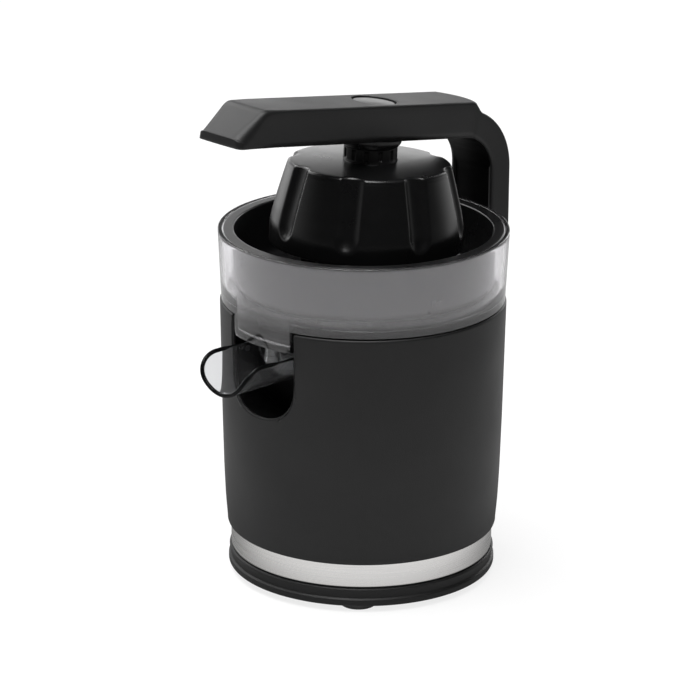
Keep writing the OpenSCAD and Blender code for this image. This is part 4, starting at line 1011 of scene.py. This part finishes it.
def makeWorld():
    # the camera and clear parts see a white backdrop; mirror rays see a studio that is white behind, dark in
    # front and above
    world = bpy.data.worlds.new("studio")
    bpy.context.scene.world = world
    world.use_nodes = True
    tree = world.node_tree
    add, join = tree.nodes.new, tree.links.new
    plain, white, shaded = tree.nodes["Background"], add("ShaderNodeBackground"), add("ShaderNodeBackground")
    plain.inputs["Color"].default_value = (1, 1, 1, 1)
    plain.inputs["Strength"].default_value = studio["worldFill"]
    white.inputs["Color"].default_value = (1, 1, 1, 1)
    where, height = add("ShaderNodeTexCoord"), add("ShaderNodeSeparateXYZ")
    join(where.outputs["Generated"], height.inputs[0])
    ahead = dotNode(tree, where.outputs["Generated"], studio["darkTurn"])
    around = spanNode(tree, ahead, studio["worldDark"])
    high = spanNode(tree, height.outputs["Z"], studio["worldHigh"])
    join(mathNode(tree, "MULTIPLY", around, high), shaded.inputs["Strength"])
    path, seen, mirror = add("ShaderNodeLightPath"), add("ShaderNodeMixShader"), add("ShaderNodeMixShader")
    join(path.outputs["Is Glossy Ray"], mirror.inputs[0])
    join(plain.outputs[0], mirror.inputs[1])
    join(shaded.outputs[0], mirror.inputs[2])
    direct = mathNode(tree, "MAXIMUM", path.outputs["Is Camera Ray"], path.outputs["Is Transmission Ray"])
    join(direct, seen.inputs[0])
    join(mirror.outputs[0], seen.inputs[1])
    join(white.outputs[0], seen.inputs[2])
    join(seen.outputs[0], tree.nodes["World Output"].inputs["Surface"])


def addLamp(name, right, ahead, up, size, power):
    a = math.radians(look["azimuth"])
    rightWay, cameraWay = Vector((math.cos(a), math.sin(a), 0)), Vector((math.sin(a), -math.cos(a), 0))
    aim = Vector((0, axisY / 1000, lampAim))
    lamp = bpy.data.lights.new(name, "AREA")
    lamp.shape, lamp.size, lamp.size_y, lamp.energy = "RECTANGLE", size[0], size[1], power
    thing = bpy.data.objects.new(name, lamp)
    bpy.context.scene.collection.objects.link(thing)
    thing.location = aim + rightWay * right + cameraWay * ahead + Vector((0, 0, up))
    thing.rotation_euler = (aim - thing.location).to_track_quat("-Z", "Y").to_euler()


def makeCamera():
    a, e = math.radians(look["azimuth"]), math.radians(look["elevation"])
    aim = Vector((0, axisY / 1000, look["aim"] / 1000))
    back = Vector((math.sin(a) * math.cos(e), -math.cos(a) * math.cos(e), math.sin(e)))
    data = bpy.data.cameras.new("camera")
    cam = bpy.data.objects.new("camera", data)
    bpy.context.scene.collection.objects.link(cam)
    data.lens, data.sensor_width = look["lens"], 36
    data.shift_x = look["shift"]
    data.clip_start, data.clip_end = 0.05, 60
    roll = Matrix.Rotation(math.radians(look["roll"]), 4, "Z")
    turn = (-back).to_track_quat("-Z", "Y").to_matrix().to_4x4() @ roll
    cam.matrix_world = Matrix.Translation(aim + back * look["distance"]) @ turn
    bpy.context.scene.camera = cam


makeFloor()
makeWorld()
for name, place in lamps.items():
    addLamp(name, *place)
makeCamera()
bpy.context.scene.view_settings.view_transform = "Standard"
print("studio made")
